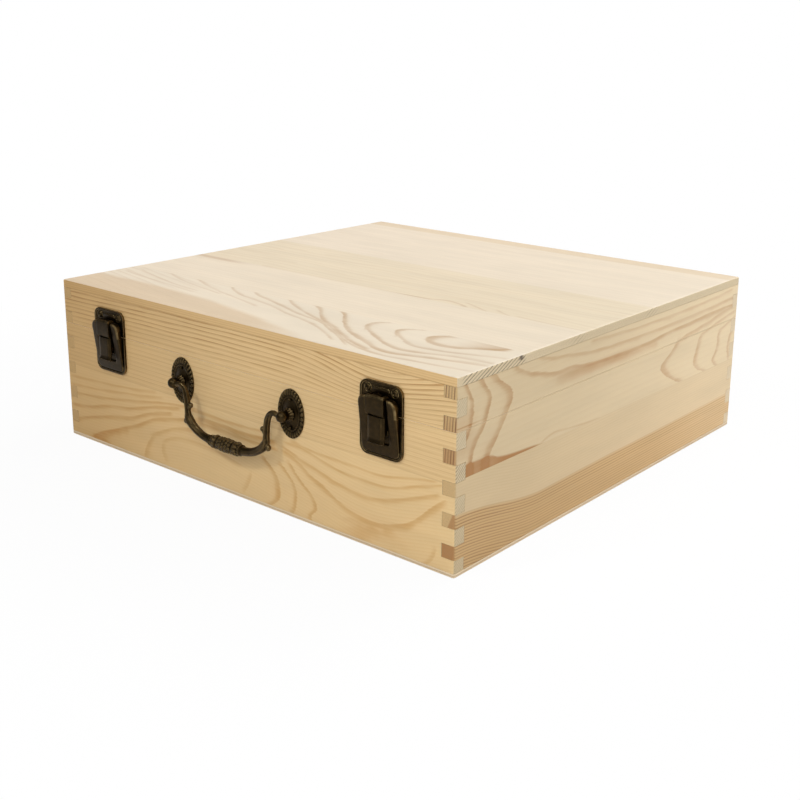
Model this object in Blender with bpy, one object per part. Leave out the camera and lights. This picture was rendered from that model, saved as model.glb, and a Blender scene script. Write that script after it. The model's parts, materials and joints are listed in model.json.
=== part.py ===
# Finger-jointed pine storage box with a drop handle, two snap hasps and two rear hinges.
# Metres, +Z up, +X to the right seen from the front, +Y to the back.
# The origin is the middle of the case's footprint, on the surface that the box stands on.

import math

import bmesh
import bpy
from mathutils import Matrix, Vector

# Case
CASE_WIDTH = 0.400
CASE_DEPTH = 0.382
CASE_HEIGHT = 0.130
SIDE_WALL = 0.010
FACE_WALL = 0.0095
PANEL_THICKNESS = 0.003
TOP_BOARD = 0.006
LID_HEIGHT = 0.0347
CORNER_ROUND = 0.0017
EDGE_EASE = 0.0009
GLUE_GAP = 0.0002
LID_GAP = 0.0003

# Finger joints
FINGER_PITCH = 0.0208
SIDE_FINGER = 0.0094

# Fitted metal
SEAT_GAP = 0.0002
PLATE_THICKNESS = 0.0012
OVERRUN = 0.001

# Screws: a size is the radius of the shank and of the head
SCREW_LENGTH = 0.0075
SCREW_SIZE = (0.0012, 0.0025)
SCREW_HEAD_HEIGHT = 0.0012
SCREW_CLEARANCE = 0.0003
SCREW_POINT = 0.0015

# Hasps, measured from the middle of the hasp at the front face: across, out and up from the parting line
HASP_INSET = 0.060
HASP_SHIFT = 0.0009
HASP_PLATE_WIDTH = 0.036
HASP_PLATE_TOP = 0.0200
KEEPER_PLATE_BOTTOM = 0.0298
HASP_PLATE_ROUND = 0.0062
HASP_SPLIT_RISE = 0.0003
HASP_SPLIT_GAP = 0.0010
RIM_WIDTH = 0.0019
RIM_HEIGHT = 0.0006
HASP_SCREW_ACROSS = 0.0112
HASP_SCREW_UP = 0.0148
RAIL_HALF_WIDTH = 0.0158
RAIL_TOP = 0.0113
RAIL_ROUND = 0.0055
RAIL_TOP_STAND = 0.0075
RAIL_FOOT_STAND = 0.0019
RAIL_BOTTOM = 0.0276
RAIL_EDGE_ROUND = 0.0015
RAIL_BACK_CLEARANCE = 0.0007
WINDOW_HALF_WIDTH = 0.0083
WINDOW_BOTTOM = 0.0198
WINDOW_ROUND = 0.0015
NOSE_HALF_WIDTH = 0.0045
NOSE_TOP = 0.0004
NOSE_BOTTOM = 0.0030
NOSE_STAND = 0.0052
KEEPER_SCREW_ACROSS = 0.0042
KEEPER_SCREW_DOWN = 0.0125

HASP_HEAD_HALF_WIDTH = 0.0075
HASP_TONGUE_HALF_WIDTH = 0.0072
HASP_TOP = 0.0130
HASP_FRONT_STAND = 0.0082
HASP_TONGUE_STAND = 0.0074
HASP_SHEET = 0.0013
HASP_TONGUE_BOTTOM = 0.0186
HASP_LIP_HEIGHT = 0.0022
HASP_LIP_STAND = 0.0010
HASP_HEAD_ROUND = 0.0022
HASP_CHEEK_BACK = 0.0027
HASP_CHEEK_FULL = 0.0070
HASP_CHEEK_END = 0.0150
HASP_TIP_SHEET = 0.0010
HASP_BEVEL_WIDTH = 0.0024
HASP_BEVEL_DEPTH = 0.0010
HASP_SLOT_TOP = 0.0006
HASP_SLOT_BOTTOM = 0.0011
HASP_SLOT_HALF_WIDTH = 0.0062
HASP_EDGE_ROUND = 0.0005
HASP_PIN_UP = 0.0100
HASP_PIN_STAND = 0.0046
HASP_PIN_RADIUS = 0.0009
HASP_PIN_CLEARANCE = 0.00015
HASP_PIN_HALF_LENGTH = 0.0071
LUG_ACROSS = 0.0044
LUG_WIDTH = 0.0012
LUG_RADIUS = 0.0015
LUG_CLEARANCE = 0.0003

# Drop handle
POST_SPACING = 0.1132
HANDLE_SHIFT = 0.0025
HANDLE_BELOW_PARTING = 0.0193
ROSETTE_WIDTH = 0.0245
ROSETTE_HEIGHT = 0.0352
ROSETTE_THICKNESS = 0.0012
ROSETTE_DOME = 0.0022
ROSETTE_RIM = 0.0034
ROSETTE_PETALS = 30
PETAL_DEPTH = 0.0005
ROSETTE_SCREW_UP = 0.0098
ROSETTE_SCREW_SIZE = (0.0008, 0.0013)
POST_FOOT_RADIUS = 0.0050
POST_FOOT_HEIGHT = 0.0009
POST_NECK_RADIUS = 0.0029
POST_STEM_RADIUS = 0.0026
POST_HEAD_RADIUS = 0.0040
POST_EYE_CLEARANCE = 0.00025
BAIL_STAND = 0.0093
BAIL_DROP = 0.0342
BAIL_PIN_RADIUS = 0.0013
BAIL_PIN_REACH = 0.0020
BAIL_ARM_RADIUS = 0.0019
BAIL_LIMB_RADIUS = 0.0025
BAIL_SWEEP_RADIUS = 0.0032
GRIP_HALF_LENGTH = 0.0165
GRIP_END_RADIUS = 0.0038
GRIP_MIDDLE_RADIUS = 0.0055
BUD_RADIUS = 0.0023
# Half of the bail's middle line, from the pin to the grip: shares of the half span and of the drop
BAIL_LINE_SHARES = [
    (0.920, 0.000),
    (0.870, -0.030),
    (0.808, 0.012),
    (0.762, 0.120),
    (0.738, 0.290),
    (0.728, 0.470),
    (0.722, 0.620),
    (0.680, 0.745),
    (0.595, 0.855),
    (0.455, 0.960),
    (0.290, 1.000),
    (0.000, 1.000),
]

# Rear hinges
HINGE_INSET = 0.080
LEAF_WIDTH = 0.036
LEAF_HEIGHT = 0.0200
LEAF_ROUND = 0.0030
KNUCKLE_RADIUS = 0.0026
KNUCKLE_COUNT = 5
KNUCKLE_GAP = 0.0003
HINGE_PIN_RADIUS = 0.0012
HINGE_PIN_CLEARANCE = 0.00015
HINGE_STAND = 0.0029
HINGE_SCREW_ACROSS = 0.0115
HINGE_SCREW_FROM_PARTING = 0.0125

# Smoothness, in counts and angles
CORNER_STEPS = 5
TURNED_SIDES = 12
LINE_STEPS = 3
GRIP_STEPS = 6
HEAD_STEPS = 7
SMOOTH_ANGLE = math.radians(35)
BEVEL_ANGLE = math.radians(50)

# Places that follow from the sizes
FRONT = -CASE_DEPTH / 2
BACK = CASE_DEPTH / 2
PARTING_HEIGHT = CASE_HEIGHT - LID_HEIGHT
HANDLE_HEIGHT = PARTING_HEIGHT - HANDLE_BELOW_PARTING
HASP_SPACING = CASE_WIDTH - 2 * HASP_INSET
HINGE_SPACING = CASE_WIDTH - 2 * HINGE_INSET

PINE = ((0.70, 0.52, 0.30), 0.55, 0.0)
PLYWOOD = ((0.76, 0.62, 0.42), 0.60, 0.0)
BRONZE = ((0.055, 0.040, 0.022), 0.38, 0.9)
WORN_BRONZE = ((0.12, 0.085, 0.04), 0.32, 0.95)


def clear_scene():
    for obj in list(bpy.data.objects):
        bpy.data.objects.remove(obj)


def make_material(name, finish):
    colour, roughness, metallic = finish
    material = bpy.data.materials.new(name)
    material.use_nodes = True
    shader = material.node_tree.nodes["Principled BSDF"]
    shader.inputs["Base Color"].default_value = (*colour, 1)
    shader.inputs["Roughness"].default_value = roughness
    shader.inputs["Metallic"].default_value = metallic
    return material


def make_mesh(name, bm, finish):
    bmesh.ops.recalc_face_normals(bm, faces=bm.faces)
    if bm.calc_volume(signed=True) < 0:
        bmesh.ops.reverse_faces(bm, faces=bm.faces)
    mesh = bpy.data.meshes.new(name)
    bm.to_mesh(mesh)
    bm.free()
    mesh.shade_smooth()
    mesh.set_sharp_from_angle(angle=SMOOTH_ANGLE)
    if finish:
        mesh.materials.append(make_material(name + "_finish", finish))
    return mesh


def add_object(name, mesh, place=(0, 0, 0), pivot=None):
    """One named sub-part: its mesh is about its own place, and it hangs on its pivot if it has one."""
    obj = bpy.data.objects.new(name, mesh)
    bpy.context.scene.collection.objects.link(obj)
    hang(obj, place, pivot)
    return obj


def make_object(name, bm, finish, place=(0, 0, 0), pivot=None):
    return add_object(name, make_mesh(name, bm, finish), place, pivot)


def make_cutter(name, bm, place=(0, 0, 0), pivot=None):
    """A tool body for Boolean modifiers, left out of the part; it hangs on the pivot of what it cuts."""
    cutter = make_object(name, bm, None, place, pivot)
    cutter.hide_render = True
    cutter.display_type = "WIRE"
    return cutter


def make_pivot(name, place, carrier=None):
    """An empty on a joint's axis, which the pieces that turn about it hang on."""
    pivot = bpy.data.objects.new(name, None)
    bpy.context.scene.collection.objects.link(pivot)
    hang(pivot, place, carrier)
    return pivot


def world_place(obj):
    return obj.location + (world_place(obj.parent) if obj.parent else Vector())


def hang(obj, place, carrier):
    """Puts an object at a place in the whole part, under its carrier if it has one."""
    obj.location = Vector(place)
    if carrier:
        obj.parent = carrier
        obj.location -= world_place(carrier)


def placed_on(pivot):
    """The place and the pivot of a piece whose own origin is its pivot's, or the part's if it has none."""
    return (world_place(pivot) if pivot else Vector()), pivot


def about_pivot(bm, pivot):
    """Moves a mesh drawn about the part's origin so that it is about its pivot."""
    bmesh.ops.translate(bm, verts=bm.verts, vec=-placed_on(pivot)[0])
    return bm


def add_boolean(obj, operation, cutter):
    modifier = obj.modifiers.new(cutter.name, "BOOLEAN")
    modifier.operation = operation
    modifier.object = cutter


def add_edge_round(obj, width):
    modifier = obj.modifiers.new("edge_round", "BEVEL")
    modifier.width = width
    modifier.segments = 1
    modifier.limit_method = "ANGLE"
    modifier.angle_limit = BEVEL_ANGLE


def rounded(corners, steps=CORNER_STEPS):
    """Outline through corners given as (across, up, radius), each turned with an arc of its radius."""
    outline = []
    count = len(corners)
    for index, (across, up, radius) in enumerate(corners):
        here = Vector((across, up))
        if radius <= 0:
            outline.append(here)
            continue
        before = (Vector(corners[index - 1][:2]) - here).normalized()
        after = (Vector(corners[(index + 1) % count][:2]) - here).normalized()
        half_angle = before.angle(after) / 2
        bisector = (before + after).normalized()
        centre = here + bisector * (radius / math.sin(half_angle))
        start = here + before * (radius / math.tan(half_angle)) - centre
        turn = (math.pi - 2 * half_angle) * (1 if before.x * after.y - before.y * after.x < 0 else -1)
        outline += [centre + Matrix.Rotation(turn * step / steps, 2) @ start for step in range(steps + 1)]
    return outline


def prism(outline, low, high, axis="Y", bm=None):
    """Extrudes a flat outline along an axis: X takes (y, z) points, Y takes (x, z) and Z takes (x, y)."""
    bm = bm or bmesh.new()
    spot = {
        "X": lambda a, b: Vector((low, a, b)),
        "Y": lambda a, b: Vector((a, low, b)),
        "Z": lambda a, b: Vector((a, b, low)),
    }[axis]
    face = bm.faces.new([bm.verts.new(spot(*point)) for point in outline])
    swept = bmesh.ops.extrude_face_region(bm, geom=[face])
    moved = [item for item in swept["geom"] if isinstance(item, bmesh.types.BMVert)]
    shift = Vector(((axis == "X") * (high - low), (axis == "Y") * (high - low), (axis == "Z") * (high - low)))
    bmesh.ops.translate(bm, verts=moved, vec=shift)
    return bm


def block(x_span, y_span, z_span, bm=None):
    corners = [(x_span[0], y_span[0]), (x_span[1], y_span[0]), (x_span[1], y_span[1]), (x_span[0], y_span[1])]
    return prism(corners, z_span[0], z_span[1], "Z", bm)


def turned(profile, axis="Y", centre=(0, 0), sides=TURNED_SIDES, bm=None):
    """Turns (along, radius) points about an axis; a radius of zero closes the shape in a pole."""
    bm = bm or bmesh.new()
    rings = []
    for along, radius in profile:
        ring = []
        for side in range(sides if radius > 0 else 1):
            angle = 2 * math.pi * (side + 0.5) / sides
            a, b = centre[0] + radius * math.cos(angle), centre[1] + radius * math.sin(angle)
            spot = {"X": (along, a, b), "Y": (a, along, b), "Z": (a, b, along)}[axis]
            ring.append(bm.verts.new(spot))
        rings.append(ring)
    for near, far in zip(rings, rings[1:]):
        join_rings(bm, near, far)
    for ring in (rings[0], rings[-1]):
        if len(ring) > 1:
            bm.faces.new(ring)
    return bm


def join_rings(bm, near, far):
    """Skins two rings of like count, or a ring and a pole."""
    count = max(len(near), len(far))
    for side in range(count):
        other = (side + 1) % count
        if len(near) == 1:
            bm.faces.new((near[0], far[side], far[other]))
        elif len(far) == 1:
            bm.faces.new((near[side], far[0], near[other]))
        else:
            bm.faces.new((near[side], far[side], far[other], near[other]))


# Case: rounded envelope, finger-jointed walls, panel and top board


def case_envelope(name, pivot=None):
    """The outside of the whole case: round upright corners and eased top and bottom edges."""
    half_x, half_y = CASE_WIDTH / 2, CASE_DEPTH / 2
    corners = [
        (-half_x, -half_y, CORNER_ROUND),
        (half_x, -half_y, CORNER_ROUND),
        (half_x, half_y, CORNER_ROUND),
        (-half_x, half_y, CORNER_ROUND),
    ]
    bm = prism(rounded(corners), 0, CASE_HEIGHT, "Z")
    bmesh.ops.recalc_face_normals(bm, faces=bm.faces)
    level = [edge for edge in bm.edges if abs(edge.verts[0].co.z - edge.verts[1].co.z) < EDGE_EASE]
    bmesh.ops.bevel(bm, geom=level, offset=EDGE_EASE, segments=2, profile=0.5, affect="EDGES")
    return make_cutter(name, about_pivot(bm, pivot), *placed_on(pivot))


def finger_end(low, high, is_side_wall, long_reach, short_reach):
    """Steps (reach, height) up one end of a wall: side fingers have their feet at the parting line's grid."""
    marks = []
    for index in range(-2, math.ceil(CASE_HEIGHT / FINGER_PITCH) + 1):
        foot = PARTING_HEIGHT - index * FINGER_PITCH
        marks += [(foot, True), (foot + SIDE_FINGER, False)]
    marks.sort()
    inner = [mark for mark in marks if low + LID_GAP < mark[0] < high - LID_GAP]
    starts_in_side_finger = [mark for mark in marks if mark[0] <= low + LID_GAP][-1][1]
    is_long = starts_in_side_finger == is_side_wall
    steps = [(long_reach if is_long else short_reach, low)]
    for height, _ in inner:
        step_height = height - GLUE_GAP / 2 if is_long else height + GLUE_GAP / 2
        steps.append((long_reach if is_long else short_reach, step_height))
        is_long = not is_long
        steps.append((long_reach if is_long else short_reach, step_height))
    steps.append((long_reach if is_long else short_reach, high))
    return steps


def make_wall(name, low, high, side, envelope, pivot=None):
    """One wall of the base or the lid; side is front, back, left or right."""
    is_side_wall = side in ("left", "right")
    half_length = (CASE_DEPTH if is_side_wall else CASE_WIDTH) / 2
    neighbour = FACE_WALL if is_side_wall else SIDE_WALL
    thickness = SIDE_WALL if is_side_wall else FACE_WALL
    end = finger_end(low, high, is_side_wall, half_length + OVERRUN, half_length - neighbour - GLUE_GAP)
    outline = end + [(-reach, height) for reach, height in reversed(end)]
    face = (CASE_WIDTH if is_side_wall else CASE_DEPTH) / 2
    spans = {"front": (-face - OVERRUN, thickness - face), "back": (face - thickness, face + OVERRUN)}
    spans.update({"left": spans["front"], "right": spans["back"]})
    bm = prism(outline, *spans[side], "X" if is_side_wall else "Y")
    wall = make_object(name, about_pivot(bm, pivot), PINE, *placed_on(pivot))
    add_boolean(wall, "INTERSECT", envelope)
    return wall


def make_sheet(name, low, high, finish, envelope, pivot=None):
    """A board over the whole plan of the case, such as the bottom panel or the top board."""
    half_x, half_y = CASE_WIDTH / 2 + OVERRUN, CASE_DEPTH / 2 + OVERRUN
    bm = block((-half_x, half_x), (-half_y, half_y), (low, high))
    sheet = make_object(name, about_pivot(bm, pivot), finish, *placed_on(pivot))
    add_boolean(sheet, "INTERSECT", envelope)
    return sheet


def make_case(lid_pivot):
    base_envelope = case_envelope("base_envelope")
    lid_envelope = case_envelope("lid_envelope", lid_pivot)
    walls = {}
    base_low, base_high = PANEL_THICKNESS + GLUE_GAP, PARTING_HEIGHT - LID_GAP / 2
    lid_low, lid_high = PARTING_HEIGHT + LID_GAP / 2, CASE_HEIGHT - TOP_BOARD - GLUE_GAP
    for side in ("front", "back", "left", "right"):
        walls["base_" + side] = make_wall("base_" + side, base_low, base_high, side, base_envelope)
        walls["lid_" + side] = make_wall("lid_" + side, lid_low, lid_high, side, lid_envelope, lid_pivot)
    make_sheet("base_panel", -OVERRUN, PANEL_THICKNESS, PLYWOOD, base_envelope)
    make_sheet("lid_top", CASE_HEIGHT - TOP_BOARD, CASE_HEIGHT + OVERRUN, PINE, lid_envelope, lid_pivot)
    return walls


# Screws, and the pilot holes that they sit in


def add_screws(name, spots, seat, facing, size, carriers, pivot=None):
    """Screws at (x, z) spots with their heads at a seat in y; facing is -1 on the front and 1 on the back.

    The size is the shank's and the head's radius, and the carriers are what they are driven through.
    """
    radius, head_radius = size
    tip, crown = -facing * SCREW_LENGTH, facing * SCREW_HEAD_HEIGHT
    shoulder = facing * SEAT_GAP
    screw = make_mesh(name, turned([
        (tip, 0),
        (tip + facing * SCREW_POINT, radius),
        (shoulder, radius),
        (shoulder, head_radius),
        (crown * 0.6, head_radius * 0.86),
        (crown, 0),
    ]), WORN_BRONZE)
    bore, holes = radius + SCREW_CLEARANCE, bmesh.new()
    for number, (x, z) in enumerate(spots, 1):
        add_object(name + "_" + str(number), screw, (x, seat, z), pivot)
        turned([(seat + tip - facing * SCREW_CLEARANCE, bore), (seat + crown, bore)], "Y", (x, z), bm=holes)
    cutter = make_cutter(name + "_holes", about_pivot(holes, pivot), *placed_on(pivot))
    for piece in carriers:
        add_boolean(piece, "DIFFERENCE", cutter)


# Hasps: each point is given as (across, out, up) from the middle of the hasp at the front face


def front_local(bm):
    """Turns a mesh drawn as across, out and up so that out points away from the front face."""
    for vert in bm.verts:
        vert.co.y = -vert.co.y
    return bm


def rimmed_plate(corners):
    """A stamped plate with a raised border: the face is inset by the rim and pushed back."""
    outline = rounded(corners)
    bm = prism(outline, SEAT_GAP, PLATE_THICKNESS + RIM_HEIGHT, "Y")
    bmesh.ops.recalc_face_normals(bm, faces=bm.faces)
    front = max(bm.faces, key=lambda face: face.calc_center_median().y)
    bmesh.ops.inset_region(bm, faces=[front], thickness=RIM_WIDTH, use_even_offset=True)
    bmesh.ops.translate(bm, verts=front.verts, vec=(0, -RIM_HEIGHT, 0))
    return bm


def rail_stand(up):
    """How far the guard rails' face stands out at a height: it slopes in to the foot."""
    share = (up + RAIL_BOTTOM) / (RAIL_TOP + RAIL_BOTTOM)
    return RAIL_FOOT_STAND + (RAIL_TOP_STAND - RAIL_FOOT_STAND) * share


def keeper_rails():
    """The U-shaped guard: two rails beside the tongue, joined by an apron below it, with a sloping face."""
    half, window = RAIL_HALF_WIDTH, WINDOW_HALF_WIDTH
    corners = [
        (-half, -RAIL_BOTTOM, RAIL_ROUND - RIM_WIDTH / 2),
        (half, -RAIL_BOTTOM, RAIL_ROUND - RIM_WIDTH / 2),
        (half, RAIL_TOP, RAIL_ROUND),
        (window, RAIL_TOP, 0),
        (window, -WINDOW_BOTTOM, WINDOW_ROUND),
        (-window, -WINDOW_BOTTOM, WINDOW_ROUND),
        (-window, RAIL_TOP, 0),
        (-half, RAIL_TOP, RAIL_ROUND),
    ]
    foot = 2 * SEAT_GAP
    bm = prism(rounded(corners), foot, RAIL_TOP_STAND, "Y")
    rim = [edge for edge in bm.edges if min(vert.co.y for vert in edge.verts) > RAIL_TOP_STAND / 2]
    bmesh.ops.bevel(bm, geom=rim, offset=RAIL_EDGE_ROUND, segments=3, profile=0.5, affect="EDGES")
    for vert in bm.verts:
        vert.co.y = foot + (vert.co.y - foot) * (rail_stand(vert.co.z) - foot) / (RAIL_TOP_STAND - foot)
    return bm


def make_keeper(side, centre, wall):
    """The lower plate: rimmed, with guard rails that rise past the parting line, and the catch nose."""
    half = HASP_PLATE_WIDTH / 2
    top = HASP_SPLIT_RISE - HASP_SPLIT_GAP / 2
    plate = rimmed_plate([
        (-half, -KEEPER_PLATE_BOTTOM, HASP_PLATE_ROUND),
        (half, -KEEPER_PLATE_BOTTOM, HASP_PLATE_ROUND),
        (half, top, 0),
        (-half, top, 0),
    ])
    keeper = make_object(side + "_keeper_plate", front_local(plate), BRONZE, centre)
    rails = make_cutter(side + "_keeper_rails", front_local(keeper_rails()), centre)
    add_boolean(keeper, "UNION", rails)
    nose = prism([
        (PLATE_THICKNESS / 2, -NOSE_BOTTOM - NOSE_STAND / 2),
        (NOSE_STAND, -NOSE_BOTTOM),
        (NOSE_STAND, -NOSE_TOP),
        (PLATE_THICKNESS / 2, -NOSE_TOP),
    ], -NOSE_HALF_WIDTH, NOSE_HALF_WIDTH, "X")
    add_boolean(keeper, "UNION", make_cutter(side + "_keeper_nose", front_local(nose), centre))
    back_stand = PLATE_THICKNESS + RIM_HEIGHT + RAIL_BACK_CLEARANCE
    behind = block((-half, half), (-OVERRUN, back_stand), (top, HASP_PLATE_TOP))
    add_boolean(keeper, "DIFFERENCE", make_cutter(side + "_keeper_back", front_local(behind), centre))
    spots = [(centre.x + sign * KEEPER_SCREW_ACROSS, centre.z - KEEPER_SCREW_DOWN) for sign in (-1, 1)]
    add_screws(side + "_keeper_screw", spots, FRONT - PLATE_THICKNESS, -1, SCREW_SIZE, [wall, keeper])


def make_hasp_plate(side, centre, wall, pivot):
    """The upper plate on the lid: rimmed, with two lugs that hold the hasp's pin."""
    half = HASP_PLATE_WIDTH / 2
    low = HASP_SPLIT_RISE + HASP_SPLIT_GAP / 2
    bm = rimmed_plate([
        (-half, low, 0),
        (half, low, 0),
        (half, HASP_PLATE_TOP, HASP_PLATE_ROUND),
        (-half, HASP_PLATE_TOP, HASP_PLATE_ROUND),
    ])
    plate = make_object(side + "_hasp_plate", front_local(bm), BRONZE, centre, pivot)
    lugs = bmesh.new()
    for sign in (-1, 1):
        low_x = sign * LUG_ACROSS - LUG_WIDTH / 2
        outline = rounded([
            (PLATE_THICKNESS / 2, HASP_PIN_UP - 2 * LUG_RADIUS, 0),
            (HASP_PIN_STAND + LUG_RADIUS, HASP_PIN_UP - LUG_RADIUS, LUG_RADIUS * 0.8),
            (HASP_PIN_STAND + LUG_RADIUS, HASP_PIN_UP + LUG_RADIUS, LUG_RADIUS * 0.8),
            (PLATE_THICKNESS / 2, HASP_PIN_UP + LUG_RADIUS, 0),
        ], 3)
        prism(outline, low_x, low_x + LUG_WIDTH, "X", lugs)
    add_boolean(plate, "UNION", make_cutter(side + "_hasp_lugs", front_local(lugs), centre, pivot))
    bore = turned([(-LUG_ACROSS - LUG_WIDTH, HASP_PIN_RADIUS + HASP_PIN_CLEARANCE),
                   (LUG_ACROSS + LUG_WIDTH, HASP_PIN_RADIUS + HASP_PIN_CLEARANCE)],
                  "X", (HASP_PIN_STAND, HASP_PIN_UP))
    add_boolean(plate, "DIFFERENCE", make_cutter(side + "_lug_bore", front_local(bore), centre, pivot))
    spots = [(centre.x + sign * HASP_SCREW_ACROSS, centre.z + HASP_SCREW_UP) for sign in (-1, 1)]
    add_screws(side + "_hasp_screw", spots, FRONT - PLATE_THICKNESS, -1, SCREW_SIZE, [wall, plate], pivot)


def hasp_body():
    """The hasp's outer form: a side profile extruded across, a little narrower below the slot."""
    tip_back = HASP_TONGUE_STAND - HASP_TIP_SHEET
    profile = rounded([
        (HASP_CHEEK_BACK, -HASP_CHEEK_FULL, 0),
        (tip_back, -HASP_CHEEK_END, 0),
        (tip_back, -HASP_TONGUE_BOTTOM, 0),
        (HASP_TONGUE_STAND + HASP_LIP_STAND, -HASP_TONGUE_BOTTOM, HASP_TIP_SHEET / 2),
        (HASP_TONGUE_STAND, HASP_LIP_HEIGHT - HASP_TONGUE_BOTTOM, 0),
        (HASP_TONGUE_STAND, -HASP_SLOT_BOTTOM, 0),
        (HASP_FRONT_STAND, HASP_SLOT_TOP, 0),
        (HASP_FRONT_STAND, HASP_TOP, HASP_HEAD_ROUND),
        (HASP_CHEEK_BACK, HASP_TOP, HASP_SHEET),
    ], 3)
    bm = prism(profile, -HASP_HEAD_HALF_WIDTH, HASP_HEAD_HALF_WIDTH, "X")
    for height in (HASP_SLOT_TOP, -HASP_SLOT_BOTTOM):
        everything = [*bm.verts, *bm.edges, *bm.faces]
        bmesh.ops.bisect_plane(bm, geom=everything, plane_co=(0, 0, height), plane_no=(0, 0, 1))
    for vert in bm.verts:
        if vert.co.z < HASP_SLOT_TOP - HASP_SLOT_BOTTOM:
            vert.co.x = math.copysign(HASP_TONGUE_HALF_WIDTH, vert.co.x)
    return bm


def hasp_cutters():
    """The hollow behind the sheet, the slot, the pin's bore, the lugs' notches and the tongue's bevels."""
    inner = HASP_TONGUE_HALF_WIDTH - HASP_SHEET
    tongue_back = HASP_TONGUE_STAND - HASP_SHEET
    head_back = HASP_FRONT_STAND - HASP_SHEET
    channel = prism([
        (-OVERRUN, -HASP_CHEEK_END - OVERRUN),
        (tongue_back, -HASP_CHEEK_END - OVERRUN),
        (tongue_back, -HASP_SLOT_BOTTOM),
        (head_back, HASP_SLOT_TOP),
        (head_back, HASP_TOP - HASP_SHEET),
        (-OVERRUN, HASP_TOP - HASP_SHEET),
    ], -inner, inner, "X")
    slot = block((-HASP_SLOT_HALF_WIDTH, HASP_SLOT_HALF_WIDTH), (HASP_CHEEK_BACK, HASP_FRONT_STAND + OVERRUN),
                 (-HASP_SLOT_BOTTOM, HASP_SLOT_TOP))
    reach, bore_radius = HASP_HEAD_HALF_WIDTH + OVERRUN, HASP_PIN_RADIUS + HASP_PIN_CLEARANCE
    bore = turned([(-reach, bore_radius), (reach, bore_radius)], "X", (HASP_PIN_STAND, HASP_PIN_UP))
    notches = bmesh.new()
    for sign in (-1, 1):
        near = sign * LUG_ACROSS - LUG_WIDTH / 2 - LUG_CLEARANCE
        block((near, near + LUG_WIDTH + 2 * LUG_CLEARANCE), (-OVERRUN, head_back),
              (HASP_PIN_UP + LUG_RADIUS, HASP_TOP + OVERRUN), notches)
    bevels, reach = bmesh.new(), HASP_TONGUE_HALF_WIDTH + HASP_BEVEL_WIDTH
    for sign in (-1, 1):
        prism([
            (sign * (HASP_TONGUE_HALF_WIDTH - 2 * HASP_BEVEL_WIDTH), HASP_TONGUE_STAND + HASP_BEVEL_DEPTH),
            (sign * reach, HASP_TONGUE_STAND - 2 * HASP_BEVEL_DEPTH),
            (sign * reach, HASP_TONGUE_STAND + HASP_BEVEL_DEPTH),
        ], -HASP_TONGUE_BOTTOM - OVERRUN, -HASP_SLOT_BOTTOM, "Z", bevels)
    return {"channel": channel, "slot": slot, "bore": bore, "notches": notches, "bevels": bevels}


def make_hasp(side, centre, pivot):
    """The swinging hasp: a headed channel with a slot at the parting line and a lipped tongue."""
    place = world_place(pivot)
    bm = hasp_body()
    bmesh.ops.translate(bm, verts=bm.verts, vec=(0, -HASP_PIN_STAND, -HASP_PIN_UP))
    hasp = make_object(side + "_hasp", front_local(bm), WORN_BRONZE, place, pivot)
    add_edge_round(hasp, HASP_EDGE_ROUND)
    for name, cutter in hasp_cutters().items():
        tool = make_cutter(side + "_hasp_" + name, front_local(cutter), centre, pivot)
        add_boolean(hasp, "DIFFERENCE", tool)
    pin = turned([(-HASP_PIN_HALF_LENGTH, HASP_PIN_RADIUS), (HASP_PIN_HALF_LENGTH, HASP_PIN_RADIUS)], "X")
    make_object(side + "_hasp_pin", pin, WORN_BRONZE, place, pivot.parent)


def make_hasps(walls, lid_pivot):
    for side, sign in (("left", -1), ("right", 1)):
        centre = Vector((HASP_SHIFT + sign * HASP_SPACING / 2, FRONT, PARTING_HEIGHT))
        make_keeper(side, centre, walls["base_front"])
        make_hasp_plate(side, centre, walls["lid_front"], lid_pivot)
        axis_place = centre + Vector((0, -HASP_PIN_STAND, HASP_PIN_UP))
        hasp_pivot = make_pivot(side + "_hasp_axis", axis_place, lid_pivot)
        make_hasp(side, centre, hasp_pivot)


# Drop handle: petal rosettes, posts and the cast bail


def make_rosette(side, centre, wall):
    """An oval plate with a ring of petals at its rim, hollowed inside the ring and domed at the post."""
    bm = bmesh.new()
    half_x, half_z = ROSETTE_WIDTH / 2, ROSETTE_HEIGHT / 2
    count = ROSETTE_PETALS * 3
    rings = []
    levels = [
        (1.0, SEAT_GAP, 1),
        (1.0, ROSETTE_THICKNESS, 1),
        (1 - ROSETTE_RIM / ROSETTE_WIDTH, ROSETTE_THICKNESS + PETAL_DEPTH, 0),
        (1 - 2 * ROSETTE_RIM / ROSETTE_WIDTH, ROSETTE_THICKNESS, 0),
        (2 * POST_FOOT_RADIUS / ROSETTE_WIDTH, ROSETTE_THICKNESS + PETAL_DEPTH, 0),
    ]
    for share, stand, is_rim in levels:
        ring = []
        for step in range(count):
            angle = 2 * math.pi * step / count
            petal = (math.cos(ROSETTE_PETALS * angle) - 1) / 2 * PETAL_DEPTH * is_rim
            ring.append(bm.verts.new((
                (half_x * share + petal) * math.cos(angle),
                -stand,
                (half_z * share + petal) * math.sin(angle),
            )))
        rings.append(ring)
    rings.append([bm.verts.new((0, -ROSETTE_DOME, 0))])
    for near, far in zip(rings, rings[1:]):
        join_rings(bm, near, far)
    bm.faces.new(rings[0])
    rosette = make_object(side + "_rosette", bm, BRONZE, centre)
    spots = [(centre.x, centre.z + sign * ROSETTE_SCREW_UP) for sign in (-1, 1)]
    seat = FRONT - ROSETTE_THICKNESS - PETAL_DEPTH
    add_screws(side + "_rosette_screw", spots, seat, -1, ROSETTE_SCREW_SIZE, [wall, rosette])
    return rosette


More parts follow.
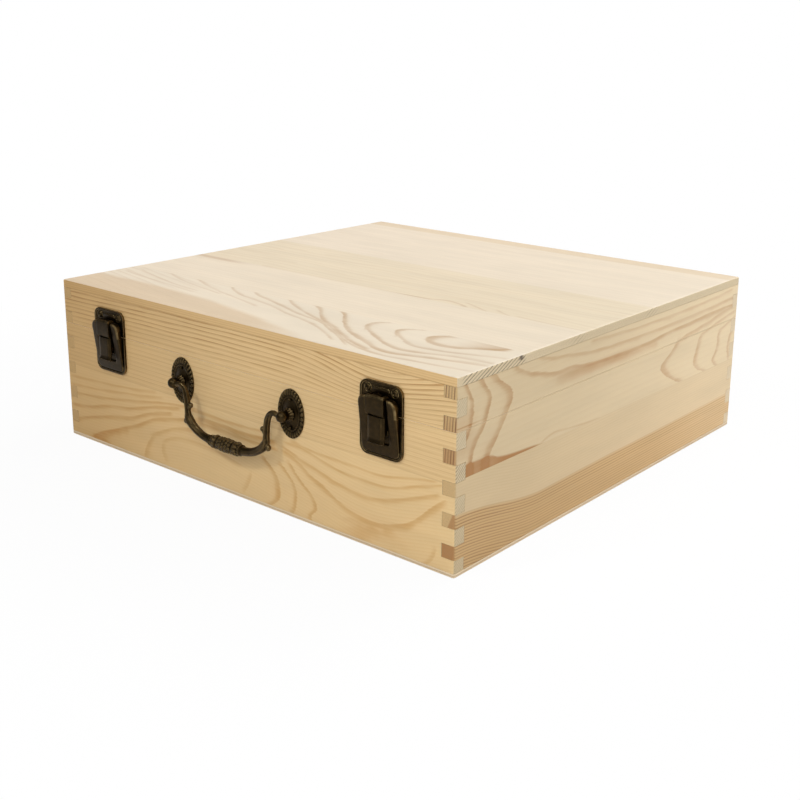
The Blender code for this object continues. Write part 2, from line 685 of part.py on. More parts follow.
def make_post(side, centre, rosette):
    """A turned post with a flared foot, a neck and a ball head, bored across for the bail's pin."""
    seat, radius = -ROSETTE_DOME - SEAT_GAP, POST_HEAD_RADIUS
    profile = [
        (-SEAT_GAP, POST_STEM_RADIUS),
        (seat, POST_STEM_RADIUS),
        (seat, POST_FOOT_RADIUS),
        (seat - POST_FOOT_HEIGHT, POST_FOOT_RADIUS),
        (seat - 2 * POST_FOOT_HEIGHT, (POST_FOOT_RADIUS + POST_NECK_RADIUS) / 2),
    ]
    neck = math.asin(POST_NECK_RADIUS / radius)
    for step in range(HEAD_STEPS):
        angle = neck + (math.pi - neck) * step / HEAD_STEPS
        profile.append((radius * math.cos(angle) - BAIL_STAND, radius * math.sin(angle)))
    profile.append((-radius - BAIL_STAND, 0))
    post = make_object(side + "_handle_post", turned(profile, "Y"), WORN_BRONZE, centre)
    eye = BAIL_PIN_RADIUS + POST_EYE_CLEARANCE
    reach = POST_HEAD_RADIUS + OVERRUN
    bore = turned([(-reach, eye), (reach, eye)], "X", (-BAIL_STAND, 0))
    add_boolean(post, "DIFFERENCE", make_cutter(side + "_post_eye", bore, centre))
    socket_radius = POST_STEM_RADIUS + SEAT_GAP
    socket = turned([(OVERRUN, socket_radius), (seat - OVERRUN, socket_radius)], "Y")
    add_boolean(rosette, "DIFFERENCE", make_cutter(side + "_rosette_socket", socket, centre))


def curve_through(points, steps):
    """Even steps along a Catmull-Rom curve through points, ends included."""
    padded = [2 * points[0] - points[1], *points, 2 * points[-1] - points[-2]]
    line = []
    for index in range(1, len(padded) - 2):
        a, b, c, d = padded[index - 1:index + 3]
        for step in range(steps):
            t = step / steps
            line.append(0.5 * (2 * b + (c - a) * t + (2 * a - 5 * b + 4 * c - d) * t ** 2
                               + (3 * b - 3 * c + d - a) * t ** 3))
    line.append(points[-1].copy())
    return line


def bail_radius(across):
    """Radius of the bail at a distance from its middle: swelling grip, tapering limb, then the arm."""
    half_span = POST_SPACING / 2
    if across <= GRIP_HALF_LENGTH:
        share = across / GRIP_HALF_LENGTH
        return GRIP_END_RADIUS + (GRIP_MIDDLE_RADIUS - GRIP_END_RADIUS) * math.cos(share * math.pi / 2)
    arm_start, limb_start = BAIL_LINE_SHARES[2][0] * half_span, BAIL_LINE_SHARES[4][0] * half_span
    if across <= limb_start:
        share = (across - GRIP_HALF_LENGTH) / (limb_start - GRIP_HALF_LENGTH)
        return BAIL_SWEEP_RADIUS + (BAIL_LIMB_RADIUS - BAIL_SWEEP_RADIUS) * share
    if across <= arm_start:
        share = (across - limb_start) / (arm_start - limb_start)
        return BAIL_LIMB_RADIUS + (BAIL_ARM_RADIUS - BAIL_LIMB_RADIUS) * share
    return BAIL_ARM_RADIUS


def bail_half_line():
    half_span, drop = POST_SPACING / 2, BAIL_DROP
    points = [Vector((x * half_span, 0, -z * drop)) for x, z in BAIL_LINE_SHARES]
    line = curve_through(points, LINE_STEPS)
    limb = [point for point in line if point.x > GRIP_HALF_LENGTH]
    grip = [Vector((GRIP_HALF_LENGTH * (1 - step / GRIP_STEPS), 0, -drop)) for step in range(GRIP_STEPS + 1)]
    return limb + grip


def make_bail(place):
    """The cast drop handle: pins in the posts' eyes, arched limbs with leaf buds, and a swelling grip."""
    half_span = POST_SPACING / 2
    half = bail_half_line()
    radii = [bail_radius(point.x) for point in half]
    pin_shoulder = half_span - POST_HEAD_RADIUS - POST_EYE_CLEARANCE
    pins = [(Vector((half_span + BAIL_PIN_REACH, 0, 0)), BAIL_PIN_RADIUS),
            (Vector((pin_shoulder, 0, 0)), BAIL_PIN_RADIUS),
            (Vector((pin_shoulder, 0, 0)), BAIL_ARM_RADIUS)]
    run = pins + list(zip(half, radii))
    run += [(Vector((-point.x, 0, point.z)), radius) for point, radius in reversed(run[:-1])]
    bm = bmesh.new()
    rings = []
    for index, (point, radius) in enumerate(run):
        ahead = run[min(index + 1, len(run) - 1)][0]
        behind = run[max(index - 1, 0)][0]
        along = (ahead - behind).normalized()
        across = Vector((along.z, 0, -along.x))
        ring = []
        for side in range(TURNED_SIDES):
            angle = 2 * math.pi * side / TURNED_SIDES
            ring.append(bm.verts.new(point + across * radius * math.cos(angle)
                                     + Vector((0, radius * math.sin(angle), 0))))
        rings.append(ring)
    for near, far in zip(rings, rings[1:]):
        join_rings(bm, near, far)
    bm.faces.new(rings[0])
    bm.faces.new(rings[-1])
    bail = make_object("handle_bail", bm, WORN_BRONZE, place)
    buds = bmesh.new()
    inner = Vector((BAIL_LINE_SHARES[5][0] * half_span - BAIL_LIMB_RADIUS - BUD_RADIUS / 3, 0,
                    -(BAIL_LINE_SHARES[4][1] + BAIL_LINE_SHARES[5][1]) / 2 * BAIL_DROP))
    outer = Vector((BAIL_LINE_SHARES[6][0] * half_span + BUD_RADIUS, 0,
                    -BAIL_LINE_SHARES[7][1] * BAIL_DROP))
    for spot in (inner, outer):
        for sign in (-1, 1):
            bud = bmesh.ops.create_uvsphere(buds, u_segments=8, v_segments=6, radius=BUD_RADIUS)
            bmesh.ops.translate(buds, verts=bud["verts"], vec=(sign * spot.x, 0, spot.z))
    add_boolean(bail, "UNION", make_cutter("bail_buds", buds, place))


def make_handle(walls):
    for side, sign in (("left", -1), ("right", 1)):
        centre = Vector((HANDLE_SHIFT + sign * POST_SPACING / 2, FRONT, HANDLE_HEIGHT))
        rosette = make_rosette(side, centre, walls["base_front"])
        make_post(side, centre, rosette)
    make_bail(Vector((HANDLE_SHIFT, FRONT - BAIL_STAND, HANDLE_HEIGHT)))


# Rear hinges: surface leaves with interleaved knuckles on a pin


def knuckle_spans(is_lid):
    """Where one leaf's knuckles lie across the hinge; the lid has the even ones."""
    pitch = LEAF_WIDTH / KNUCKLE_COUNT
    spans = []
    for index in range(KNUCKLE_COUNT):
        if (index % 2 == 1) == is_lid:
            start = index * pitch - LEAF_WIDTH / 2
            spans.append((start + KNUCKLE_GAP / 2, start + pitch - KNUCKLE_GAP / 2))
    return spans


def make_leaf(side, centre, is_lid, wall, pivot):
    """One leaf on the rear face: x across, y out to the back from the face, z up from the parting line."""
    up = 1 if is_lid else -1
    half = LEAF_WIDTH / 2
    corners = [
        (-half, up * LID_GAP, 0),
        (half, up * LID_GAP, 0),
        (half, up * LEAF_HEIGHT, LEAF_ROUND),
        (-half, up * LEAF_HEIGHT, LEAF_ROUND),
    ]
    name = side + ("_hinge_lid" if is_lid else "_hinge_base")
    bm = prism(rounded(corners), SEAT_GAP, PLATE_THICKNESS, "Y")
    leaf = make_object(name + "_leaf", bm, BRONZE, centre, pivot)
    own, others = bmesh.new(), bmesh.new()
    for low, high in knuckle_spans(is_lid):
        turned([(low, KNUCKLE_RADIUS), (high, KNUCKLE_RADIUS)], "X", (HINGE_STAND, 0), bm=own)
    for low, high in knuckle_spans(not is_lid):
        radius = KNUCKLE_RADIUS + KNUCKLE_GAP * 2
        turned([(low - KNUCKLE_GAP, radius), (high + KNUCKLE_GAP, radius)], "X", (HINGE_STAND, 0), bm=others)
    bore_radius = HINGE_PIN_RADIUS + HINGE_PIN_CLEARANCE
    bore = turned([(-half - OVERRUN, bore_radius), (half + OVERRUN, bore_radius)], "X", (HINGE_STAND, 0))
    add_boolean(leaf, "DIFFERENCE", make_cutter(name + "_clearance", others, centre, pivot))
    add_boolean(leaf, "UNION", make_cutter(name + "_knuckles", own, centre, pivot))
    add_boolean(leaf, "DIFFERENCE", make_cutter(name + "_bore", bore, centre, pivot))
    screw_z = centre.z + up * HINGE_SCREW_FROM_PARTING
    spots = [(centre.x + sign * HINGE_SCREW_ACROSS, screw_z) for sign in (-1, 1)]
    add_screws(name + "_screw", spots, BACK + PLATE_THICKNESS, 1, SCREW_SIZE, [wall, leaf], pivot)


def make_hinges(walls, lid_pivot):
    for side, sign in (("left", -1), ("right", 1)):
        centre = Vector((sign * HINGE_SPACING / 2, BACK, PARTING_HEIGHT))
        make_leaf(side, centre, False, walls["base_back"], None)
        make_leaf(side, centre, True, walls["lid_back"], lid_pivot)
        half = LEAF_WIDTH / 2
        pin = turned([(-half, HINGE_PIN_RADIUS), (half, HINGE_PIN_RADIUS)], "X")
        make_object(side + "_hinge_pin", pin, BRONZE, centre + Vector((0, HINGE_STAND, 0)))


def main():
    clear_scene()
    lid_pivot = make_pivot("lid_axis", Vector((0, BACK + HINGE_STAND, PARTING_HEIGHT)))
    walls = make_case(lid_pivot)
    make_hasps(walls, lid_pivot)
    make_handle(walls)
    make_hinges(walls, lid_pivot)


main()
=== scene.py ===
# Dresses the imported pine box: grain on every board, aged bronze fittings, a pale stage and a camera.
# Metres, +Z up, +X to the right seen from the front, +Y to the back.

import json
import math

import bmesh
import bpy
from mathutils import Matrix, Vector

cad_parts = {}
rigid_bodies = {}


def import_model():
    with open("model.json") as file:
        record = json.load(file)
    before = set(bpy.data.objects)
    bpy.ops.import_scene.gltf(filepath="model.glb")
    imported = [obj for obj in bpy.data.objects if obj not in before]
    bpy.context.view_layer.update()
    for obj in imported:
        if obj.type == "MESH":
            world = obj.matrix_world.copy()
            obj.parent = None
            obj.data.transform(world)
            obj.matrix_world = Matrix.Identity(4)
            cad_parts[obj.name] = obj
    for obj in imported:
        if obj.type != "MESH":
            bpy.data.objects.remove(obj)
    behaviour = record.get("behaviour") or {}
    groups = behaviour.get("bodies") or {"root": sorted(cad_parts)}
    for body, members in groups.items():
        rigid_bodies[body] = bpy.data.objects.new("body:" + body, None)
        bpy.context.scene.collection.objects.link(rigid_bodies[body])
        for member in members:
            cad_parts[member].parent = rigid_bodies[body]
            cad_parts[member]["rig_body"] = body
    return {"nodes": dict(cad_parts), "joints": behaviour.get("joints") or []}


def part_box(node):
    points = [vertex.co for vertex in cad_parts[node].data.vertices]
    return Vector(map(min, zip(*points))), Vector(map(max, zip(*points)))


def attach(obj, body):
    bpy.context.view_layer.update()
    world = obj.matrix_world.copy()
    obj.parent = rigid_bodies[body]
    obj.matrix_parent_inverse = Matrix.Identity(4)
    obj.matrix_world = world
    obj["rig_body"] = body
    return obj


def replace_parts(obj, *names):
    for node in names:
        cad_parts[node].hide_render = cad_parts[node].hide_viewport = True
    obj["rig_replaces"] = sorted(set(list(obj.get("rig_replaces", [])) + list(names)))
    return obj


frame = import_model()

bl_info = {
    "name": "Pine Box Dressing",
    "version": (1, 0, 0),
    "blender": (4, 5, 0),
    "location": "3D View > Sidebar > Pine Box",
    "description": "Grain, bronze fittings and stage for a finger-jointed pine box",
    "category": "Object",
}

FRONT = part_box("base_front")[0].y
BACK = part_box("base_back")[1].y
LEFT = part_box("base_left")[0].x
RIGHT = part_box("base_right")[1].x
CASE_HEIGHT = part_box("lid_top")[1].z
PARTING = (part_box("base_front")[1].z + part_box("lid_front")[0].z) / 2
SIDES = ("left", "right")
MM = 0.001
SEAT = 0.0002
BOARD_SPAN = 400


def middle(node):
    low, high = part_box(node)
    return (low + high) / 2


HASP_MIDDLE = {side: Vector((middle(side + "_keeper_plate").x, FRONT, PARTING)) for side in SIDES}
POST_MIDDLE = {side: Vector((middle(side + "_rosette").x, FRONT, middle(side + "_rosette").z)) for side in SIDES}
HINGE_MIDDLE = {side: Vector((middle(side + "_hinge_pin").x, BACK, PARTING)) for side in SIDES}


# Sizes and colours that a user may change


class BoxFittingSizes(bpy.types.PropertyGroup):
    """Sizes of the bronze fittings."""
    plate_round: bpy.props.FloatProperty(
        name="Plate corner", description="Radius of the hasp plates' corners", default=0.0062, unit="LENGTH")
    plate_thickness: bpy.props.FloatProperty(
        name="Plate thickness", description="Thickness of the hasp plates inside their rim", default=0.0012,
        unit="LENGTH")
    rim_width: bpy.props.FloatProperty(
        name="Rim width", description="Width of the raised rim round the hasp plates", default=0.0019,
        unit="LENGTH")
    rosette_petals: bpy.props.IntProperty(
        name="Rosette petals", description="Number of gadroons round each rosette", default=30, min=12, max=48)
    ball_radius: bpy.props.FloatProperty(
        name="Ball radius", description="Radius of the ball at the head of each handle post", default=0.0040,
        unit="LENGTH")
    grip_radius: bpy.props.FloatProperty(
        name="Grip radius", description="Radius of the handle's grip at its middle, over the beads",
        default=0.0055, unit="LENGTH")


class BoxColours(bpy.types.PropertyGroup):
    """Colours of the wood and the metal."""
    front_pine: bpy.props.FloatVectorProperty(
        name="Front pine", description="Earlywood of the front and back boards", subtype="COLOR", size=3,
        min=0, max=1, default=(0.730, 0.520, 0.275))
    side_pine: bpy.props.FloatVectorProperty(
        name="Side pine", description="Earlywood of the side boards", subtype="COLOR", size=3,
        min=0, max=1, default=(0.750, 0.590, 0.375))
    # The top's pine is paler and less saturated than the front's: partly its own tone, partly a painted sheen of the
    # light from above
    top_pine: bpy.props.FloatVectorProperty(
        name="Top pine", description="Earlywood of the top staves", subtype="COLOR", size=3,
        min=0, max=1, default=(0.845, 0.735, 0.580))
    grain_line: bpy.props.FloatVectorProperty(
        name="Grain line", description="Latewood lines", subtype="COLOR", size=3,
        min=0, max=1, default=(0.480, 0.265, 0.095))
    heartwood: bpy.props.FloatVectorProperty(
        name="Heartwood", description="Darker heart of the lower side boards", subtype="COLOR", size=3,
        min=0, max=1, default=(0.630, 0.405, 0.185))
    bronze: bpy.props.FloatVectorProperty(
        name="Bronze", description="Aged metal in its hollows and on flats", subtype="COLOR", size=3,
        min=0, max=1, default=(0.034, 0.0225, 0.0095))
    worn_bronze: bpy.props.FloatVectorProperty(
        name="Worn bronze", description="Metal rubbed bright on its edges", subtype="COLOR", size=3,
        min=0, max=1, default=(0.285, 0.205, 0.095))


def sizes():
    return bpy.context.scene.box_fitting_sizes


def colours():
    return bpy.context.scene.box_colours


# Materials: sockets with the usual operators


class Value:
    """A number or colour that varies over a surface: one output socket of a finish's nodes."""

    def __init__(self, finish, socket):
        self.finish = finish
        self.socket = socket

    def maths(self, operation, *values):
        return self.finish.add("Math", {"operation": operation}, dict(enumerate(values)))

    def __add__(self, other):
        return self.maths("ADD", self, other)

    def __sub__(self, other):
        return self.maths("SUBTRACT", self, other)

    def __rsub__(self, other):
        return self.maths("SUBTRACT", other, self)

    def __mul__(self, other):
        return self.maths("MULTIPLY", self, other)

    def __truediv__(self, other):
        return self.maths("DIVIDE", self, other)

    def __pow__(self, other):
        return self.maths("POWER", self, other)

    def __rpow__(self, other):
        return self.maths("POWER", other, self)

    def __abs__(self):
        return self.maths("ABSOLUTE", self)

    __radd__ = __add__
    __rmul__ = __mul__

    def at_least(self, other):
        return self.maths("MAXIMUM", self, other)

    def at_most(self, other):
        return self.maths("MINIMUM", self, other)

    def above(self, other):
        return self.maths("GREATER_THAN", self, other)

    def whole(self):
        return self.maths("FLOOR", self)

    def part(self):
        return self.maths("FRACT", self)

    def rise(self, low, high):
        """0 below low, 1 above high and a smooth step between; high below low turns it round."""
        if high < low:
            return 1 - self.rise(high, low)
        return self.finish.add(
            "MapRange", {"interpolation_type": "SMOOTHSTEP"},
            {"Value": self, "From Min": low, "From Max": high})

    def hill(self, centre, width):
        """1 at the centre, falling away on both sides as a bell does."""
        away = (self - centre) / width
        return math.e ** (away * away * -1)


class Finish:
    """A material with a Principled shader, and the ways to add nodes to it."""

    def __init__(self, name):
        self.material = bpy.data.materials.new(name)
        self.material.use_nodes = True
        self.tree = self.material.node_tree
        self.shader = self.tree.nodes["Principled BSDF"]

    def add(self, kind, settings=None, inputs=None, output=0):
        """Adds a node: its kind, its settings, its sockets' values or links, and the output that is wanted."""
        node = self.tree.nodes.new("ShaderNode" + kind)
        for key, value in (settings or {}).items():
            if key in ("points", "corners"):
                draw_curve(node.mapping, value, "AUTO" if key == "points" else "VECTOR")
            else:
                setattr(node, key, value)
        for key, value in (inputs or {}).items():
            self.put(node.inputs[key], value)
        return Value(self, node.outputs[output])

    def put(self, socket, value):
        if isinstance(value, Value):
            self.tree.links.new(value.socket, socket)
        else:
            socket.default_value = value

    def mix(self, share, first, second):
        def colour(value):
            return value if isinstance(value, Value) else (*value, 1)
        settings = {"data_type": "RGBA"}
        return self.add("Mix", settings, {0: share, 6: colour(first), 7: colour(second)}, 2)

    def multiply(self, first, second):
        return self.add("Mix", {"data_type": "RGBA", "blend_type": "MULTIPLY"}, {0: 1.0, 6: first, 7: second}, 2)

    def coordinates(self, output):
        split = self.tree.nodes.new("ShaderNodeSeparateXYZ")
        self.tree.links.new(self.tree.nodes.new("ShaderNodeTexCoord").outputs[output], split.inputs[0])
        return [Value(self, split.outputs[axis]) for axis in range(3)]

    def places(self):
        """Object coordinates in millimetres."""
        return [axis / MM for axis in self.coordinates("Object")]

    def facing(self):
        return self.coordinates("Normal")

    def noise(self, place, detail=2, distortion=0.0, roughness=0.5):
        """Noise on a place given as three values, with features of about one unit of them."""
        spot = self.add("CombineXYZ", None, dict(enumerate(place)))
        return self.add("TexNoise", None, {
            "Vector": spot, "Scale": 1.0, "Detail": detail, "Distortion": distortion, "Roughness": roughness})

    def set(self, **sockets):
        for name, value in sockets.items():
            self.put(self.shader.inputs[name.replace("_", " ")], value)

    def bump(self, height, strength, distance):
        self.set(Normal=self.add("Bump", None, {
            "Height": height, "Strength": strength, "Distance": distance}, "Normal"))


def draw_curve(mapping, points, handle):
    """Leads a curve node's only curve through rising points, and holds it level beyond them."""
    mapping.use_clip = False
    mapping.extend = "HORIZONTAL"
    curve = mapping.curves[0]
    curve.points[0].location, curve.points[1].location = points[0], points[-1]
    for point in points[1:-1]:
        curve.points.new(*point)
    for point in curve.points:
        point.handle_type = handle
    mapping.update()


class Board:
    """Where a point lies in a board, in mm: along the grain, across the face, and down from the face."""

    def __init__(self, finish, along, across, depth):
        self.finish = finish
        self.along = along
        self.across = across
        self.depth = depth
        self.patch = finish.noise((along / 26, across / 9, depth / 9), 2).rise(0.30, 0.66)
        self.spread = (finish.noise((along / 17 + 7, across / 12, depth / 12), 1) * 0.9 + 0.55) * BOARD_SPAN
        ragged = finish.noise((along / 30, across / 1.3, depth / 1.3), 3) - 0.5
        self.wavy_along = (along + self.wander(67, 0.8, 22, 15) + ragged * 3) / BOARD_SPAN
        self.wavy_across = (across + self.wander(61, 0.6, 26, 14) + ragged * 1.2) / BOARD_SPAN

    def wander(self, seed, amount, length=60, width=9):
        """Slow waviness, long along the grain and short across it."""
        place = (self.along / length + seed, self.across / width, self.depth / width)
        return (self.finish.noise(place, 1) - 0.5) * (2 * amount)

    def rings(self, level, start, sharp=0.97):
        """Latewood darkness from a ring level: it grows from start, and ends sharply at the next ring."""
        part = level.part()
        count = level.whole()
        chance = self.finish.add("TexWhiteNoise", {"noise_dimensions": "1D"}, {"W": count})
        return (part.rise(start, sharp - 0.02) - part.rise(sharp, 1.0)) * (chance * 0.45 + 0.6)

    def line(self, width, strength, places, upright=False):
        """One growth line through given (along, across) places; an upright one runs across the board.

        Its crisp edge is on the places, and it fades away on one side: the lesser side if its width is negative.
        """
        reading, other = (self.wavy_across, self.wavy_along) if upright else (self.wavy_along, self.wavy_across)
        run = sorted((across, along) if upright else (along, across) for along, across in places)
        edge = self.curve("points", [(x / BOARD_SPAN, y / BOARD_SPAN) for x, y in run], reading)
        side = math.copysign(1, width)
        profile = sorted((share * width + still * side, dark * strength) for share, still, dark in LINE_PROFILE)
        first, last = run[0][0], run[-1][0]
        ends = [(first - 3, 0), (first + 2, 1), (last - 2, 1), (last + 3, 0)]
        return self.curve("points", profile, (other - edge) * self.spread) * self.curve(
            "corners", [(x / BOARD_SPAN, y) for x, y in ends], reading)

    def curve(self, kind, points, value):
        return self.finish.add("FloatCurve", {kind: points}, {"Value": value})

    def lines(self, features):
        """The darkness of several growth lines, each given as width, strength, places and perhaps upright."""
        dark = self.line(*features[0])
        for feature in features[1:]:
            dark = dark.at_least(self.line(*feature))
        return dark * (self.patch * 0.35 + 0.65)


# The faces in the gap at the parting line: painted near-white, with a faint painted glow, to lift the shade in the gap
GAP_PAINTED_LIGHT, GAP_PAINTED_GLOW, GAP_GLOW_STRENGTH = (0.93, 0.80, 0.60), (0.9, 0.72, 0.45), 0.035
# The tone at the front's left end, where less light falls
FRONT_SHADE = (0.82, 0.73, 0.56)
WHITE = (1.0, 1.0, 1.0)


def grained(finish, board, planks, joints, end_facing, cut, glue, painted_light_tones):
    """Joins planks across a board, each as (colour, ring darkness), and adds fibres, end grain and relief.

    The painted light and shade along the board is given as two places and the tone painted at each; the faces in the
    gap at the parting line get painted light and a painted glow.
    """
    colour, darkness = planks[0]
    for (next_colour, next_darkness), joint in zip(planks[1:], joints):
        here = board.across.above(joint)
        colour = finish.mix(here, colour, next_colour)
        darkness = darkness + (next_darkness - darkness) * here
    fibre = finish.noise((board.along / 14, board.across * 1.6, board.depth * 1.6), 3, 0.2, 0.6)
    ducts = finish.noise((board.along / 5, board.across * 2.6, board.depth * 2.6), 1)
    cloud = finish.noise((board.along / 90, board.across / 16, board.depth / 16), 2)
    end = abs(end_facing).rise(0.5, 0.85)
    shade = (fibre - 0.5) * 0.16 + (cloud - 0.5) * 0.30 + 0.02
    start, end_place, start_painted_light, end_painted_light = painted_light_tones
    # Painted light and shade: the colour is multiplied by a tone that changes along the board
    colour = finish.multiply(colour, finish.mix(board.along.rise(start, end_place), start_painted_light, end_painted_light))
    light = finish.multiply(colour, finish.mix(shade.rise(-0.2, 0.2), (0.90, 0.90, 0.90), (1.06, 1.06, 1.06)))
    streak = ducts.rise(0.70, 0.78) * 0.22 * (1 - end)
    marked = finish.mix(streak, light, colours().grain_line)
    for joint in joints:
        seam = abs(board.across - joint).rise(0.30, 0.05) * glue
        marked = finish.mix(seam, marked, toned(colours().grain_line, 0.7, 0.7, 0.7))
    # Painted light: the faces in the gap at the parting line are painted pale and glow faintly, to lift its shade
    gap_painted_light_mask = abs(finish.facing()[2]).rise(0.6, 0.9) * abs(finish.places()[2] - PARTING / MM).rise(1.0, 0.6)
    marked = finish.mix(gap_painted_light_mask, marked, GAP_PAINTED_LIGHT)
    finish.set(Emission_Color=finish.mix(gap_painted_light_mask, (0, 0, 0), GAP_PAINTED_GLOW), Emission_Strength=GAP_GLOW_STRENGTH)
    finish.set(
        Base_Color=finish.mix(end, marked, cut),
        Roughness=0.56 + (fibre - 0.5) * 0.22 - darkness * 0.10,
        IOR=1.45,
    )
    finish.bump(fibre * 0.5 - streak * 1.5, 0.35, 0.00016)
    return finish.material


def end_grain(finish, pale, dark, rings):
    """Cut ends: mottled, and crossed by growth rings where the darkness given for them says so."""
    mottle = finish.noise([axis * 1.1 for axis in finish.places()], 3, 0.0, 0.7)
    ground = finish.mix(mottle.rise(0.30, 0.70), toned(pale, 0.84, 0.84, 0.84), pale)
    return finish.mix(rings, ground, dark)


def tint(finish, pale, line, darkness):
    """A plank's colour and its ring darkness as a pair."""
    return finish.mix(darkness.at_least(0).at_most(1), pale, line), darkness


def toned(colour, red=1.0, green=1.0, blue=1.0):
    return (colour[0] * red, colour[1] * green, colour[2] * blue)


# Boards

# Across a growth line, as (share of its width, further mm, darkness)
LINE_PROFILE = ((0, -0.7, 0), (0, 0.3, 0.9), (0.4, 0, 1), (1.0, 0, 0.7), (1.5, 0, 0.24), (2.2, 0, 0.06),
                (2.8, 0, 0))

# Growth lines are given as (width, darkness, [(along, across) in mm], upright).
# From the front's left edge and the floor: the broad soft lines of its lower plank
FRONT_LINES = (
    (-4.6, 0.64, [(28, 5), (41, 11), (50, 14.5), (62, 19), (76, 24)]),
    (-2.4, 0.57, [(70, 22), (87, 28), (112, 38.5), (144, 46), (170, 51)]),
    (-4.1, 0.46, [(30, 7), (40, 6.5), (54, 3)]),
    (-2.3, 0.52, [(6, 15), (31, 22), (56, 28), (81, 33), (102, 40.5), (130, 47.5)]),
    (-1.9, 0.52, [(4, 27.5), (25, 29.5), (50, 35.5), (81, 40.5), (112, 48.5), (140, 53.5)]),
    (-1.5, 0.46, [(6, 37.5), (44, 41), (81, 46.5), (125, 54), (160, 57)]),
    (-1.4, 0.42, [(4, 44.5), (37, 46.5), (75, 51), (120, 57)]),
    (-1.4, 0.42, [(4, 51.5), (44, 53.5), (87, 57), (112, 60)]),
    (3.8, 0.42, [(95, 3), (98, 12), (103, 20), (107, 25)], True),
    (-2.4, 0.40, [(105, 25), (115, 29), (125, 33), (137, 37), (155, 40)]),
    (3.5, 0.31, [(120, 8), (117, 15), (118, 21)], True),
    (-2.4, 0.28, [(119, 23), (131, 28), (150, 31), (180, 30), (205, 26)]),
    (-3.0, 0.29, [(210, 6), (215, 14), (218, 22)], True),
    (-3.5, 0.61, [(234, 2), (241, 6), (246, 12), (246, 19), (243, 27), (238, 32), (230, 38)], True),
    (-2.6, 0.52, [(259, 2), (262, 12), (262, 22), (256, 30), (247, 37)], True),
    (-2.8, 0.53, [(277, 1), (277, 7), (282, 12.5), (279, 20), (272, 26), (263, 33), (256, 40)], True),
    (-2.7, 0.57, [(250, 48), (265, 43), (275, 36.6), (287, 32), (306, 23), (322, 19.5), (338, 19), (350, 21.5)]),
    (-3.8, 0.55, [(340, 19.5), (351, 22), (362, 26.5), (372, 33.5), (381, 42), (392, 50)]),
    (-2.2, 0.48, [(250, 51), (262, 47), (290, 40), (306, 36.6), (325, 35), (340, 37), (356, 41.5), (387, 53)]),
    (-1.5, 0.50, [(252, 54.5), (270, 53.5), (287, 49.5), (306, 46.5), (325, 46), (344, 46.5), (375, 55.5), (390, 60)]),
    (-1.4, 0.44, [(258, 57), (275, 54.5), (312, 53.5), (337, 53), (362, 57.5), (384, 61)]),
    (-2.4, 0.35, [(375, 1), (382, 7), (386, 15)], True),
    # The next three lines darken a band between the handle's limbs, just above its grip
    (-1.7, 0.50, [(146, 56), (175, 55.6), (205, 55.6), (238, 57.5)]),
    (-2.8, 0.60, [(160, 51), (185, 51.4), (205, 51), (242, 52.5)]),
    (-1.9, 0.48, [(158, 47), (185, 47.6), (215, 47), (244, 47.5)]),
)
# From the right wall's front edge and the floor: its upper plank's bulges, long band and arcs
SIDE_LINES = (
    (-2.8, 0.60, [(8, 128), (12, 119), (16, 112), (16.5, 106), (14, 95), (9, 86)], True),
    (-3.6, 0.64, [(22, 128), (29, 118), (34.5, 110), (32.5, 103), (27, 92), (20, 84), (16.5, 77), (15.5, 63)], True),
    (-5.4, 0.60, [(36, 127), (46, 117), (55, 111), (57, 105), (53, 97), (43, 83), (36, 75), (33, 70), (32, 63)], True),
    (-2.4, 0.52, [(58, 125), (72, 118), (87, 114), (107, 109.5), (125, 109.5), (140, 107.5), (180, 105), (225, 104.5),
                  (250, 106), (325, 108), (380, 109)]),
    (-5.0, 0.32, [(108, 109), (140, 107), (180, 104.5), (222, 104.5), (246, 105.5)]),
    (-2.0, 0.40, [(85, 126), (100, 121.5), (120, 119), (150, 115), (175, 113.5), (225, 112.5), (325, 113),
                  (378, 115)]),
    (-1.8, 0.32, [(150, 122.5), (187, 121), (225, 119.5), (300, 119.5), (370, 122)]),
    (6.0, 0.52, [(286, 60), (274, 65), (262, 71), (254.5, 76), (252.5, 80), (258, 84), (266, 88), (272, 92), (278, 96)],
     True),
    (-2.4, 0.44, [(274, 95), (290, 98), (310, 100), (330, 102), (350, 105), (378, 108)]),
    (4.4, 0.46, [(327, 60), (316, 64), (309, 69), (307, 73), (309, 79), (312, 85), (314, 90), (320, 93)], True),
    (-1.9, 0.36, [(317, 93), (328, 95), (345, 98), (378, 102.5)]),
    (3.6, 0.44, [(351, 59), (343, 64), (341, 67), (345, 72), (348, 78), (348, 86), (352, 90)], True),
    (-1.6, 0.34, [(350, 90.5), (370, 95), (380, 98)]),
    (3.0, 0.42, [(371, 60), (368, 68), (368, 76), (371, 82), (374, 86)], True),
    (-1.0, 0.30, [(92, 64.5), (106, 67.3), (122, 66.2), (150, 63.5), (164, 62.8)]),
)
